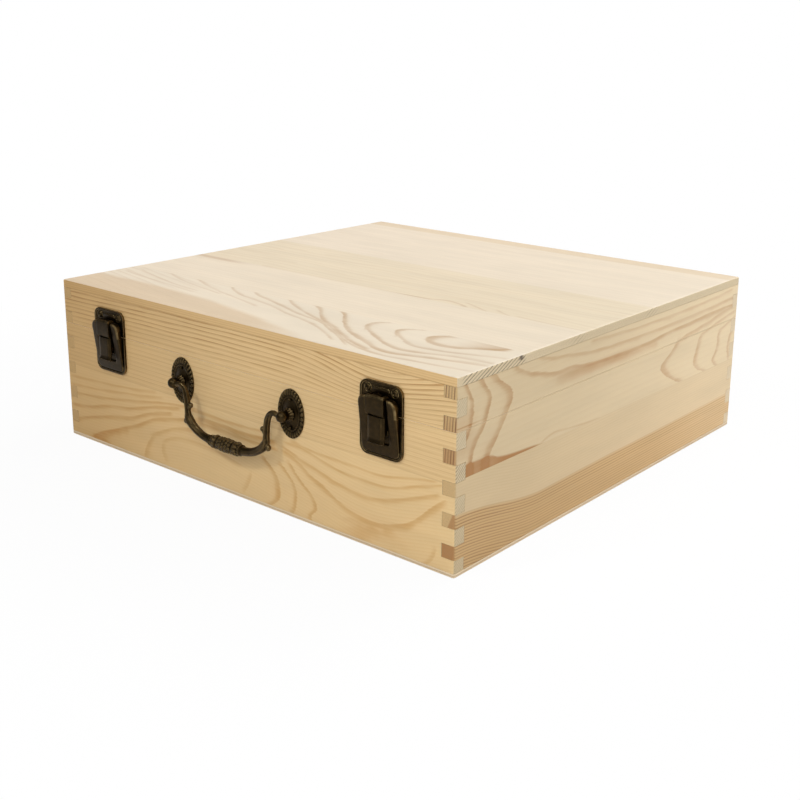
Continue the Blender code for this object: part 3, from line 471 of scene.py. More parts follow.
# From the top's left edge and its front: the lines that hook to the joint of its front stave
TOP_LINES = (
    (1.6, 0.20, [(12, 66), (40, 57), (70, 50), (110, 45)]),
    (1.6, 0.20, [(10, 53), (40, 48), (75, 44), (110, 40)]),
    (1.6, 0.24, [(46, 71), (66, 63), (90, 57), (130, 50)]),
    (1.8, 0.28, [(80, 71), (98, 63), (120, 56), (150, 49), (180, 41)]),
    (2.0, 0.36, [(120, 71), (133, 63), (145, 58), (165, 54), (188, 49), (212, 41), (237, 35), (262, 25), (285, 12)]),
    (2.2, 0.42, [(146, 71), (158, 65), (175, 60), (200, 52), (222, 45), (245, 40), (263, 31), (283, 20), (300, 9)]),
    (2.2, 0.44, [(184, 71), (200, 61), (222, 51), (240, 44), (255, 38), (275, 27), (291, 17), (310, 9), (330, 6),
                 (365, 10), (398, 15)]),
    (2.8, 0.52, [(211, 71), (220, 66), (229, 58), (243, 46), (263, 36), (283, 24), (299, 16), (318, 9)]),
    (3.4, 0.56, [(237, 71), (245, 66), (252, 58), (260, 50), (275, 37), (291, 28), (307, 21), (321, 14), (332, 12.5),
                 (350, 16.5), (370, 23), (398, 30)]),
    (3.6, 0.50, [(284, 71), (277, 67), (275, 60), (277, 54), (283, 47)], True),
    (2.8, 0.50, [(279, 51.5), (291, 42.5), (305, 34), (321, 26), (332, 23), (342, 23.5), (360, 30), (380, 35),
                 (398, 37)]),
    (3.2, 0.52, [(314, 71), (304, 66), (301, 60), (304, 54), (310, 48)], True),
    (2.6, 0.46, [(306, 52), (319, 43.5), (327, 38), (336, 35.5), (346, 36), (365, 40), (385, 47), (398, 51)]),
    (6.0, 0.56, [(337, 71), (331, 66), (328, 60), (330, 55), (336, 50)], True),
    (4.0, 0.56, [(331, 53), (338, 48.8), (350, 47.3), (361, 50), (371, 57), (383, 65), (388, 71)]),
)
# On the top's third stave, from the same edges
CREST_LINES = (
    (-2.0, 0.36, [(228, 143.5), (246, 145), (262, 147), (272, 150.5), (283, 149.5), (292, 146), (299, 142)]),
    (-1.6, 0.30, [(288, 155), (300, 150), (310, 145.5), (317, 142)]),
    (-1.4, 0.28, [(318, 152), (328, 147), (339, 142)]),
    (-1.4, 0.22, [(340, 146.5), (365, 144.5), (392, 143.5)]),
)


def front_finish(name, mirrored):
    """Front or back wall: a close-grained upper plank over one with broad soft swirls."""
    finish = Finish(name)
    x, y, z = finish.places()
    along = x - LEFT / MM
    if mirrored:
        along = 398 - along
    depth = (BACK / MM - y) if mirrored else (y - FRONT / MM)
    board = Board(finish, along, z, depth)
    pine, line = colours().front_pine, colours().grain_line
    dip = along.hill(338, 50) * 12.0 - along.at_most(200) * 0.014
    reach = z.rise(84, 114)
    upper = (z + dip * reach + board.wander(3, 1.1)) / 3.3 + depth / 6.0
    fine = (z + dip * reach * 0.8 + board.wander(5, 0.6, 80, 5)) / 1.35 + depth / 6.0
    fade = board.patch * 0.5 + 0.5
    dark = board.rings(upper, 0.42) * (0.36 + z.rise(90, 118) * 0.72) * fade + board.rings(fine, 0.3) * 0.21
    upper_plank = tint(finish, toned(pine, 1.05, 1.05, 1.03), line, dark)
    blotch = (z + board.wander(17, 5, 14, 7)).rise(17.5, 12) * along.hill(330, 26) * board.patch * 0.36 + (
        along.hill(40, 14) * z.hill(5, 5) * 0.25)
    faint = board.rings((z + along.hill(160, 70) * -14 + along.hill(330, 50) * 12) / 2.4, 0.3) * 0.10
    lower_plank = tint(finish, toned(pine, 1.09, 1.11, 1.11), toned(line, 1.14, 0.98, 0.52),
                       board.lines(FRONT_LINES) + blotch + faint)
    if mirrored:
        cut = end_grain(finish, (0.85, 0.69, 0.465), line, board.rings(depth / 3, 0.3) * 0.10)
    else:
        slanted = board.rings((depth - z) / 2.4, 0.50) * (0.44 + z.hill(69, 8) * 0.56)
        cut = end_grain(finish, (0.69, 0.56, 0.355), (0.20, 0.13, 0.07), slanted)
        cut = finish.multiply(cut, finish.mix(z.rise(66, 40), WHITE, (0.93, 0.91, 0.87)))
    # Painted shade and light: the front is painted darker at its left end and lighter to the right; the back at its
    # mirrored end
    painted_light_tones = (-60, 230, FRONT_SHADE, (1.05, 1.045, 1.0))
    return grained(finish, board, [lower_plank, upper_plank], [61.2], finish.facing()[0], cut, 0.22, painted_light_tones)


def side_finish(name, mirrored):
    """Right or left wall: a pale plain-sawn upper plank over one with a brown heart."""
    finish = Finish(name)
    x, y, z = finish.places()
    along = y - FRONT / MM
    depth = (x - LEFT / MM) if mirrored else (RIGHT / MM - x)
    if mirrored:
        along = along * 0.93 + 24
    board = Board(finish, along, z, depth)
    pine, line = colours().side_pine, colours().grain_line
    glued = 64.2 - along * 0.0115
    above = z - glued
    under = z.rise(97, 103) * z.rise(109, 104) * along.rise(95, 130) * along.rise(240, 180) * 0.28
    thick = [(-10, 9), (20, 8.5), (33, 8), (42, 5), (60, 2.8), (80, 1.7), (97, 0)]
    wedge = (board.curve("points", [(a / BOARD_SPAN, b / 10) for a, b in thick], board.wavy_along) * 10 - above)
    streak = above.above(0) * wedge.rise(-0.6, 1.2) * (0.78 + along.rise(32, 52) * 0.22) * along.rise(100, 82)
    root = above.above(0) * above.rise(11, 5) * (along.hill(15, 2.4) + along.hill(30.5, 3.0)) * 0.6
    brown_front = along.rise(26, 6) * z.rise(70, 84) * z.rise(112, 100) * 0.24
    knot = z.hill(97.5, 0.5) * along.rise(36, 8) * 0.5
    faint = board.rings((z + board.wander(13, 1.6, 70, 14)) / 4.6, 0.3) * 0.045
    dark = board.lines(SIDE_LINES) + under + streak + root + brown_front + knot + faint
    upper_plank = tint(finish, toned(pine, 1.00, 1.00, 0.99), toned(line, 0.95, 0.78, 0.56), dark)
    boundary = along.rise(95, 0) * 11.5 + 29.5
    below = boundary - z + board.wander(9, 0.5, 70, 7)
    heart = below.rise(-1.6, 1.6) * (1 - along.rise(210, 360) * 0.25)
    fine = below / 2.0 + depth / 5
    lower_dark = board.rings(fine, 0.34) * (
        0.10 + heart * (0.50 + below.rise(12, 2) * 0.20 + along.rise(90, 20) * 0.3))
    plain = finish.mix(heart, toned(pine, 0.97, 0.94, 0.89), toned(colours().heartwood, 1.05, 1.07, 1.09))
    lower = finish.mix(lower_dark.at_most(1), plain, toned(line, 0.80, 0.72, 0.60))
    tan = toned(colours().front_pine, 0.88, 0.84, 0.74)
    if mirrored:
        cut = end_grain(finish, toned(colours().front_pine, 0.84, 0.755, 0.58), line,
                        board.rings(depth / 3, 0.3) * 0.10)
    else:
        rings = board.rings(depth / 2.15 + z / 42, 0.42) * z.rise(63, 70)
        corner = ((42 - z) * 0.42 + 2 - depth).rise(-0.6, 0.6)
        brown = (z.rise(44, 42) * z.rise(27, 32) * corner * 0.8 + z.rise(27, 22) * 0.95
                 + z.rise(118, 76) * z.rise(63, 70) * 0.62)
        cut = finish.mix(rings, end_grain(finish, tan, (0.42, 0.21, 0.075), brown), (0.20, 0.09, 0.035))
    # Painted light and shade: the sides are painted darker at their front ends and lighter towards the back
    painted_light_tones = (20, 400, (0.90, 0.90, 0.87), (1.15, 1.18, 1.22))
    return grained(finish, board, [(lower, lower_dark), upper_plank], [glued], finish.facing()[1], cut, 0.10, painted_light_tones)


def top_finish():
    """Top board: five staves, the front one with hooked lines, the third darker, the last one orange."""
    finish = Finish("pine_top_grain")
    x, y, z = finish.places()
    along, across, depth = x - LEFT / MM, y - FRONT / MM, CASE_HEIGHT / MM - z
    board = Board(finish, along, across, depth)
    # The top's pale pine is partly a painted sheen of the light from above
    pine, line = colours().top_pine, colours().grain_line
    faint_lines = board.rings((across + along * 0.22 + board.wander(21, 1.2)) / 7.5, 0.4) * along.rise(150, 40) * 0.16
    core = along.rise(346, 386) * (across - (along - 350) * 0.45 - 46).rise(0, 4) * along.rise(391, 385) * 0.42
    edge = 36 - (((along - 60).at_least(0) / 200) ** 2) * 30
    rosy = (edge - across + board.wander(27, 2.4, 40, 12)).rise(-3.5, 4.5) * along.rise(300, 200)
    rosy_rings = board.rings(across / 2.2 + board.wander(23, 0.9, 16, 5), 0.4) * 0.16
    base = finish.mix(rosy, pine, toned(pine, 0.90, 0.83, 0.75))
    dark = (board.lines(TOP_LINES) * (1 - along.rise(345, 395) * 0.45) + core + faint_lines) * (
        1 - rosy * 0.6) + rosy_rings * rosy
    first = (finish.mix(dark.at_most(1), base, line), dark)
    faint = board.rings(across / 5.5 + board.wander(31, 0.8) + depth / 3, 0.4) * 0.06
    knot = across.hill(139, 3.6) * along.rise(72, 30) * 0.42
    second = tint(finish, toned(pine, 1.02, 1.01, 1.0), line, faint + knot)
    soft = board.rings(across / 8.0 + board.wander(37, 1.4, 120, 14) + depth / 3, 0.3) * 0.12
    third = tint(finish, toned(pine, 0.99, 0.97, 0.91), line, soft + board.lines(CREST_LINES))
    fourth = tint(finish, toned(pine, 1.02, 1.01, 1.01), line,
                  board.rings(across / 7.0 + board.wander(43, 0.9) + depth / 3, 0.4) * 0.05)
    fifth = tint(finish, toned(pine, 0.96, 0.905, 0.83), line,
                 board.rings(across / 3.0 + board.wander(47, 0.5) + depth / 3, 0.4) * 0.14)
    staves = [first, second, third, fourth, fifth]
    facing = finish.facing()
    slanted = board.rings((across + depth * 2.0) / 5.2, 0.52) * across.rise(3, 8) * across.rise(72, 68)
    knotty = across.hill(65.5, 2.2) * depth.rise(3.6, 2.4) * 0.9
    few = board.rings((across + depth * 2.0) / 6.2, 0.6) * (across.hill(132, 9) + across.hill(234, 9)) * 0.45
    cut = end_grain(finish, (0.74, 0.60, 0.385), (0.12, 0.085, 0.055), slanted * 0.9 + knotty + few)
    front_edge = facing[1].rise(-0.5, -0.85)
    tan = finish.mix(board.rings(z / 1.6 + board.wander(49, 0.4), 0.3) * 0.40,
                     toned(colours().front_pine, 1.0, 0.97, 0.92), line)
    # Painted shade: the top's front edge is painted darker towards its left end, as the front is
    tan = finish.multiply(tan, finish.mix(along.rise(-60, 230), FRONT_SHADE, (1.03, 1.02, 0.96)))
    cut = finish.multiply(cut, finish.mix(across.hill(150, 80), WHITE, (0.92, 0.91, 0.90)))
    cut = finish.mix(front_edge, cut, tan)
    ends = abs(facing[0]).at_least(front_edge)
    # Painted light and shade: the top is painted lighter at its left end and darker at its right
    painted_light_tones = (-60, 460, (1.08, 1.08, 1.09), (0.92, 0.92, 0.91))
    return grained(finish, board, staves, [72, 143, 236, 364], ends, cut, 0.10, painted_light_tones)


def plywood_finish():
    """Bottom panel: pale veneer on the faces and three plies at the edge."""
    finish = Finish("birch_plywood")
    x, y, z = finish.places()
    board = Board(finish, x, y, z)
    figure = board.rings(y / 13 + board.wander(51, 1.6, 140, 26), 0.25) * 0.16
    plies = z.rise(0.92, 1.0) - z.rise(2.0, 2.08)
    fibre = finish.noise((x / 12, y * 1.5, z * 4), 3)
    face = finish.mix(figure, (0.86, 0.70, 0.48), (0.66, 0.46, 0.26))
    edge = finish.mix(plies * (1 - abs(finish.facing()[2]).rise(0.4, 0.8)) * 0.55, face, (0.42, 0.26, 0.12))
    finish.set(
        Base_Color=finish.mix((fibre - 0.5).rise(-0.3, 0.3) * 0.3, edge, (0.84, 0.72, 0.54)),
        Roughness=0.62 + (fibre - 0.5) * 0.2,
    )
    finish.bump(fibre, 0.3, 0.00015)
    return finish.material


BRONZE_POLISH = (("bronze_plate", 0.95), ("bronze_worn", 0.40), ("bronze_cast", 0.32), ("screw_steel", 0.15))


def bronze_finish(name, polish):
    """Aged bronze: dark in its hollows, rubbed bright on its edges by the share given as polish."""
    finish = Finish(name)
    place = finish.places()
    relief = finish.add("Attribute", {"attribute_name": "relief"}, None, "Fac")
    patch = finish.noise([axis / 3.2 for axis in place], 3)
    speck = finish.noise([axis * 1.9 for axis in place], 2)
    rub = relief.rise(0.05, 0.4) * (patch.rise(0.22, 0.62) * 0.6 + 0.4) * polish
    base = finish.mix(patch.rise(0.35, 0.75) * 0.45, colours().bronze,
                      toned(colours().bronze, 2.1, 1.95, 1.8))
    dirt = finish.mix(relief.rise(-0.05, -0.4) * 0.7, base, toned(colours().bronze, 0.35, 0.38, 0.4))
    finish.set(
        Base_Color=finish.mix(rub.at_most(1), dirt, colours().worn_bronze),
        Metallic=1.0,
        Roughness=(0.38 + (speck - 0.5) * 0.22 - rub * 0.12).at_least(0.2),
    )
    finish.bump(speck + patch * 0.6, 0.3, 0.00012)


# Modelling by operators


def begin_piece(operator, **settings):
    """Adds a primitive alone, puts its place in its mesh, and leaves it in edit mode with all selected."""
    if bpy.context.object and bpy.context.object.mode == "EDIT":
        bpy.ops.object.mode_set(mode="OBJECT")
    bpy.ops.object.select_all(action="DESELECT")
    operator(**settings)
    bpy.ops.object.transform_apply(location=True, rotation=True, scale=True)
    bpy.ops.object.mode_set(mode="EDIT")
    bpy.ops.mesh.select_all(action="SELECT")
    return bpy.context.object


def pick(kind, rule):
    """Selects only the faces, edges or verts that pass a rule, and says how many did."""
    bpy.ops.mesh.select_mode(type={"faces": "FACE", "edges": "EDGE", "verts": "VERT"}[kind])
    bpy.ops.mesh.select_all(action="DESELECT")
    mesh = bmesh.from_edit_mesh(bpy.context.object.data)
    mesh.normal_update()
    chosen = [item for item in getattr(mesh, kind) if rule(item)]
    for item in chosen:
        item.select_set(True)
    mesh.select_flush_mode()
    bmesh.update_edit_mesh(bpy.context.object.data)
    return len(chosen)


def must_pick(kind, rule):
    if not pick(kind, rule):
        raise RuntimeError("nothing to shape on " + bpy.context.object.name)


def select_none():
    """Deselects all, so that only what is added next is selected."""
    bpy.ops.mesh.select_mode(type="VERT")
    bpy.ops.mesh.select_all(action="DESELECT")


def select_every_face():
    bpy.ops.mesh.select_mode(type="FACE")
    bpy.ops.mesh.select_all(action="SELECT")


def cut_across(place, normal):
    """Adds an edge loop where a plane crosses the piece in edit mode."""
    bpy.ops.mesh.select_all(action="SELECT")
    bpy.ops.mesh.bisect(plane_co=place, plane_no=normal)


def round_corners(radius, steps):
    """Rounds the corners that are selected on a flat plate."""
    bpy.ops.mesh.bevel(offset=radius, segments=steps, affect="VERTICES", profile=0.5)


def move(*step):
    bpy.ops.transform.translate(value=step)


def scale(values, centre):
    bpy.ops.transform.resize(value=values, center_override=centre)


def turn(angle, axis, centre):
    """Turns what is selected the right-handed way about an axis through a centre."""
    bpy.ops.transform.rotate(value=-angle, orient_axis=axis, center_override=centre)


def extrude(*step):
    bpy.ops.mesh.extrude_region_move(TRANSFORM_OT_translate={"value": step})


def round_edges(piece, width, segments=2, angle=35):
    """Rounds every edge sharper than an angle with an applied Bevel modifier."""
    modifier = piece.modifiers.new("edge_round", "BEVEL")
    modifier.width = width
    modifier.segments = segments
    modifier.limit_method = "ANGLE"
    modifier.angle_limit = math.radians(angle)
    modifier.harden_normals = False
    bpy.ops.object.modifier_apply(modifier=modifier.name)


def mark_relief(piece):
    """Stores how proud or hollow each face lies against its neighbours, for wear and dirt."""
    mesh = bmesh.new()
    mesh.from_mesh(piece.data)
    values = []
    for face in mesh.faces:
        bend, total = 0.0, 0.0
        for edge in face.edges:
            if len(edge.link_faces) == 2:
                length = edge.calc_length()
                bend += edge.calc_face_angle_signed(0.0) * length
                total += length
        narrow = min(1.0, 2.5 * MM ** 2 / max(face.calc_area(), 1e-9))
        values.append(bend / max(total, 1e-9) * narrow)
    mesh.free()
    layer = piece.data.attributes.new("relief", "FLOAT", "FACE")
    layer.data.foreach_set("value", values)


def finish_piece(name, body, finish, nodes, rounding=None, smooth=38):
    """Leaves edit mode, cleans, rounds and names a piece, and hangs it on its body in place of its nodes."""
    bpy.ops.mesh.select_all(action="SELECT")
    bpy.ops.mesh.remove_doubles(threshold=1e-6)
    bpy.ops.mesh.normals_make_consistent(inside=False)
    bpy.ops.object.mode_set(mode="OBJECT")
    piece = bpy.context.object
    piece.name = name
    piece.data.name = name
    if rounding:
        round_edges(piece, *rounding)
    bpy.ops.object.shade_smooth_by_angle(angle=math.radians(smooth))
    mark_relief(piece)
    return claim(piece, body, bpy.data.materials[finish], nodes)


def claim(piece, body, material, nodes):
    piece.data.materials.clear()
    piece.data.materials.append(material)
    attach(piece, body)
    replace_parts(piece, *nodes)
    return piece


def copy_piece(piece, name, shift, body, nodes):
    """A copy with its own mesh, moved in the mesh, for the other side of the box."""
    twin = piece.copy()
    twin.data = piece.data.copy()
    twin.name = name
    twin.data.name = name
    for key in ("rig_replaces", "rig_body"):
        del twin[key]
    twin.parent = None
    bpy.context.scene.collection.objects.link(twin)
    twin.data.transform(Matrix.Translation(shift))
    claim(twin, body, piece.data.materials[0], nodes)


def finish_pair(name, node, body, finish, shift, rounding=None, smooth=38):
    """Finishes the right side's piece and copies it to the left side; the body's name may hold {side}."""
    piece = finish_piece(
        "right_" + name, body.format(side="right"), finish, ["right_" + node], rounding, smooth)
    copy_piece(piece, "left_" + name, shift, body.format(side="left"), ["left_" + node])


# Turns of a flat primitive, so that its axis runs across the box or out of its front
FACING_SIDE, FACING_FRONT = (0, math.pi / 2, 0), (math.pi / 2, 0, 0)


def ring_start(centre, radius, facing, sides):
    """Starts a piece as an open ring about an axis through its centre."""
    begin_piece(
        bpy.ops.mesh.primitive_circle_add, vertices=sides, radius=radius, location=centre,
        rotation={"X": FACING_SIDE, "Y": FACING_FRONT}[facing])


def turned_run(centre, profile, facing, sign, sides):
    """Turns a profile of (along, radius) by extruding and resizing a ring along an axis; poles are closed."""
    axis = Vector([float(facing == name) for name in "XYZ"]) * sign
    along, radius = profile[0]
    ring_start(centre + axis * along, radius, facing, sides)
    bpy.ops.mesh.edge_face_add()
    for next_along, next_radius in profile[1:]:
        extrude(*(axis * (next_along - along)))
        share = max(next_radius, 1e-6) / max(radius, 1e-6)
        here = centre + axis * next_along
        scale((share, share, share), here)
        along, radius = next_along, next_radius
    if radius < 1e-5:
        bpy.ops.mesh.merge(type="CENTER")


CORNER_STEPS = 8


def plate_start(low, high, seat, rounds):
    """Starts a plate in an upright plane: low and high are (x, z) corners, rounds a radius for low and high."""
    centre = Vector(((low[0] + high[0]) / 2, seat, (low[1] + high[1]) / 2))
    begin_piece(bpy.ops.mesh.primitive_plane_add, size=1, location=centre, rotation=FACING_FRONT)
    scale((high[0] - low[0], 1, high[1] - low[1]), centre)
    for radius, is_high in zip(rounds, (False, True)):
        if radius:
            must_pick("verts", lambda vert: (vert.co.z > centre.z) == is_high)
            round_corners(radius, CORNER_STEPS)
    select_every_face()


# Hasps


RIM_HEIGHT, RIM_SLOPE = 0.0006, 0.00004


def press_rim():
    """Raises the plate that is selected, with a rim round its sunk field."""
    extrude(0, -(sizes().plate_thickness + RIM_HEIGHT - SEAT), 0)
    for share, depth in ((0.35, 0), (0.45, RIM_SLOPE), (0.20, -RIM_HEIGHT)):
        bpy.ops.mesh.inset(thickness=sizes().rim_width * share, depth=depth)


def add_block(low, high, seat, rise, radius, steps=4):
    """Adds a raised block with round corners to the piece in edit mode: (x, z) corners, seat and rise in y."""
    select_none()
    centre = Vector(((low[0] + high[0]) / 2, seat, (low[1] + high[1]) / 2))
    bpy.ops.mesh.primitive_plane_add(size=1, location=centre, rotation=FACING_FRONT)
    scale((high[0] - low[0], 1, high[1] - low[1]), centre)
    round_corners(radius, steps)
    bpy.ops.mesh.select_mode(type="FACE")
    extrude(0, -rise, 0)
    bpy.ops.mesh.inset(thickness=min(radius, rise) * 0.6, depth=rise * 0.25)


def ring_screw(spot, radius):
    """Adds a small raised ring round a screw."""
    select_none()
    bpy.ops.mesh.primitive_torus_add(
        location=spot, rotation=FACING_FRONT, major_segments=24, minor_segments=6,
        major_radius=radius, minor_radius=radius * 0.14)


# On the lid's plates, from the middle of the hasp at the parting line: pad, screws and lugs
FIELD_MARGIN, PAD_HALF, PAD_BOTTOM, PAD_TOP, PAD_RISE, PAD_ROUND = 0.0014, 0.0072, 0.0136, 0.0168, 0.00045, 0.0012
SCREW_OUT, SCREW_UP, SCREW_RING = 0.0112, 0.0148, 0.0029
LUG_OUT, LUG_THICKNESS, LUG_ROUND, LUG_FOOT = 0.0044, 0.0012, 0.0015, 0.0008
PIN_STAND, PIN_UP = 0.0046, 0.0100


class PINE_BOX_OT_hasp_plates(bpy.types.Operator):
    """Add the two rimmed plates on the lid, with the lugs that hold the hasps' pins"""
    bl_idname = "pine_box.hasp_plates"
    bl_label = "Hasp Plates"

    def execute(self, context):
        centre = HASP_MIDDLE["right"]
        low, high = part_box("right_hasp_plate")
        plate_start((low.x, low.z), (high.x, high.z), FRONT - SEAT, (0, sizes().plate_round))
        press_rim()
        bpy.ops.mesh.inset(thickness=FIELD_MARGIN, depth=-RIM_SLOPE)
        field = FRONT - sizes().plate_thickness
        add_block((centre.x - PAD_HALF, centre.z + PAD_BOTTOM), (centre.x + PAD_HALF, centre.z + PAD_TOP),
                  field, PAD_RISE, PAD_ROUND)
        for sign in (-1, 1):
            ring_screw((centre.x + sign * SCREW_OUT, field, centre.z + SCREW_UP), SCREW_RING)
        for sign in (-1, 1):
            add_lug(centre, sign)
        finish_pair("hasp_plate_pressed", "hasp_plate", "lid", "bronze_plate",
                    HASP_MIDDLE["left"] - centre, (0.00025, 2))
        return {"FINISHED"}


def add_lug(centre, sign):
    """A round-nosed lug that stands from the lid's plate and carries the pin."""
    select_none()
    eye = centre + Vector((sign * LUG_OUT - LUG_THICKNESS / 2, -PIN_STAND, PIN_UP))
    bpy.ops.mesh.primitive_circle_add(vertices=20, radius=LUG_ROUND, location=eye, rotation=FACING_SIDE)
    mesh = bmesh.from_edit_mesh(bpy.context.object.data)
    behind = [vert for vert in mesh.verts if vert.select and vert.co.y > eye.y + 0.0001]
    bpy.ops.mesh.edge_face_add()
    for vert in mesh.verts:
        vert.select_set(vert in behind)
    mesh.select_flush_mode()
    for vert in behind:
        vert.co.y = FRONT - LUG_FOOT
    bmesh.update_edit_mesh(bpy.context.object.data)
    bpy.ops.mesh.select_linked()
    extrude(LUG_THICKNESS, 0, 0)


# Guard rails, from the middle of the hasp at the parting line
GUARD_HALF, GUARD_TOP, GUARD_BOTTOM = 0.0158, 0.0113, -0.0276
WINDOW_HALF, WINDOW_BOTTOM = 0.0083, -0.0198
GUARD_FOOT, GUARD_TOP_STAND, GUARD_LOW_STAND = 0.0004, 0.0075, 0.0019
GUARD_BACK, GUARD_EDGE, GUARD_ROUNDS, WINDOW_ROUND = 0.0026, 0.0016, (0.0046, 0.0058), 0.0015


def add_guard(centre):
    """The U-shaped guard: two broad arms beside the tongue, an apron below it, and a face that slopes in."""
    low = (centre.x - GUARD_HALF, centre.z + GUARD_BOTTOM)
    high = (centre.x + GUARD_HALF, centre.z + GUARD_TOP)
    plate_start(low, high, FRONT - GUARD_FOOT, GUARD_ROUNDS)
    for side in (-WINDOW_HALF, WINDOW_HALF):
        cut_across(centre + Vector((side, 0, 0)), (1, 0, 0))
    cut_across(centre + Vector((0, 0, WINDOW_BOTTOM)), (0, 0, 1))
    must_pick("faces", lambda face: abs(face.calc_center_median().x - centre.x) < WINDOW_HALF
              and face.calc_center_median().z > centre.z + WINDOW_BOTTOM)
    bpy.ops.mesh.delete(type="FACE")
    bpy.ops.mesh.select_all(action="SELECT")
    bpy.ops.mesh.dissolve_limited(angle_limit=math.radians(1))
    must_pick("verts", lambda vert: abs(abs(vert.co.x - centre.x) - WINDOW_HALF) < 1e-5
              and abs(vert.co.z - centre.z - WINDOW_BOTTOM) < 1e-5)
    round_corners(WINDOW_ROUND, 4)
    select_every_face()
    extrude(0, GUARD_FOOT - GUARD_TOP_STAND, 0)
    must_pick("faces", lambda face: face.normal.y < -0.9 and face.calc_center_median().y < FRONT - 0.005)
    bpy.ops.mesh.region_to_loop()
    bpy.ops.mesh.bevel(offset=GUARD_EDGE, segments=5, profile=0.5)
    slope_guard(centre)
    for height in (-0.0002, -0.0005):
        cut_across(centre + Vector((0, 0, height)), (0, 0, 1))
    must_pick("verts", lambda vert: vert.co.z > centre.z - 0.0003 and vert.co.y > FRONT - GUARD_FOOT - 0.0002)
    move(0, GUARD_FOOT - GUARD_BACK, 0)


def slope_guard(centre):
    """Presses the guard in towards its foot, so that its arms stand out most at their tops."""
    mesh = bmesh.from_edit_mesh(bpy.context.object.data)
    for vert in mesh.verts:
        share = (vert.co.z - centre.z - GUARD_BOTTOM) / (GUARD_TOP - GUARD_BOTTOM)
        stand = GUARD_LOW_STAND + (GUARD_TOP_STAND - GUARD_LOW_STAND) * share
        pressed = (FRONT - GUARD_FOOT - vert.co.y) * (stand - GUARD_FOOT) / (GUARD_TOP_STAND - GUARD_FOOT)
        vert.co.y = FRONT - GUARD_FOOT - pressed
    bmesh.update_edit_mesh(bpy.context.object.data)


class PINE_BOX_OT_keepers(bpy.types.Operator):
    """Add the two lower plates with their U-shaped guard rails and catch noses"""
    bl_idname = "pine_box.keepers"
    bl_label = "Keepers"

    def execute(self, context):
        centre = HASP_MIDDLE["right"]
        low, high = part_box("right_keeper_plate")
        add_guard(centre)
        select_none()
        top = PARTING - SEAT
        middle_point = Vector(((low.x + high.x) / 2, FRONT - SEAT, (low.z + top) / 2))
        bpy.ops.mesh.primitive_plane_add(size=1, location=middle_point, rotation=FACING_FRONT)
        scale((high.x - low.x, 1, top - low.z), middle_point)
        mesh = bmesh.from_edit_mesh(bpy.context.object.data)
        for vert in mesh.verts:
            if vert.select and vert.co.z > middle_point.z:
                vert.select_set(False)
        mesh.select_flush_mode()
        bmesh.update_edit_mesh(bpy.context.object.data)
        round_corners(sizes().plate_round, CORNER_STEPS)
        bpy.ops.mesh.select_linked()
        bpy.ops.mesh.select_mode(type="FACE")
        press_rim()
        add_nose(centre)
        finish_pair("keeper_pressed", "keeper_plate", "base", "bronze_plate",
                    HASP_MIDDLE["left"] - centre, (0.00022, 2, 45))
        return {"FINISHED"}


# The nose from the hasp's middle, the parting line and the front: its half width, bottom, top, foot and rise
NOSE_HALF, NOSE_BOTTOM, NOSE_TOP, NOSE_FOOT, NOSE_RISE, NOSE_ROUND = 0.0045, 0.0052, 0.0004, 0.0008, 0.0040, 0.0004
NOSE_SLOPE = 0.0021


def add_nose(centre):
    """The catch under the hasp's slot: a block with a sloping underside."""
    add_block((centre.x - NOSE_HALF, PARTING - NOSE_BOTTOM), (centre.x + NOSE_HALF, PARTING - NOSE_TOP),
              FRONT - NOSE_FOOT, NOSE_RISE, NOSE_ROUND, 2)
    seat = FRONT - 0.0046
    mesh = bmesh.from_edit_mesh(bpy.context.object.data)
    for vert in mesh.verts:
        under = vert.co.z < PARTING - 0.0045 and vert.co.z > PARTING - 0.006
        vert.select_set(under and vert.co.y < seat and abs(vert.co.x - centre.x) < 0.0047)
    mesh.select_flush_mode()
    bmesh.update_edit_mesh(bpy.context.object.data)
    move(0, 0, NOSE_SLOPE)


# Thickness of the sheet that a hasp is folded from
SHEET = 0.0012


class PINE_BOX_OT_hasps(bpy.types.Operator):
    """Add the two swinging hasps: a headed channel, a slot at the parting line and a lipped tongue"""
    bl_idname = "pine_box.hasps"
    bl_label = "Hasps"

    def execute(self, context):
        centre = HASP_MIDDLE["right"]
        shell = hasp_shell(centre)
        bpy.ops.object.mode_set(mode="OBJECT")
        wall = shell.modifiers.new("sheet", "SOLIDIFY")
        wall.thickness = SHEET
        wall.offset = -1
        wall.use_even_offset = True
        bpy.ops.object.modifier_apply(modifier=wall.name)
        bpy.ops.object.mode_set(mode="EDIT")
        finish_pair("hasp_formed", "hasp", "{side}_hasp", "bronze_plate",
                    HASP_MIDDLE["left"] - centre, (0.0005, 3, 30))
        return {"FINISHED"}


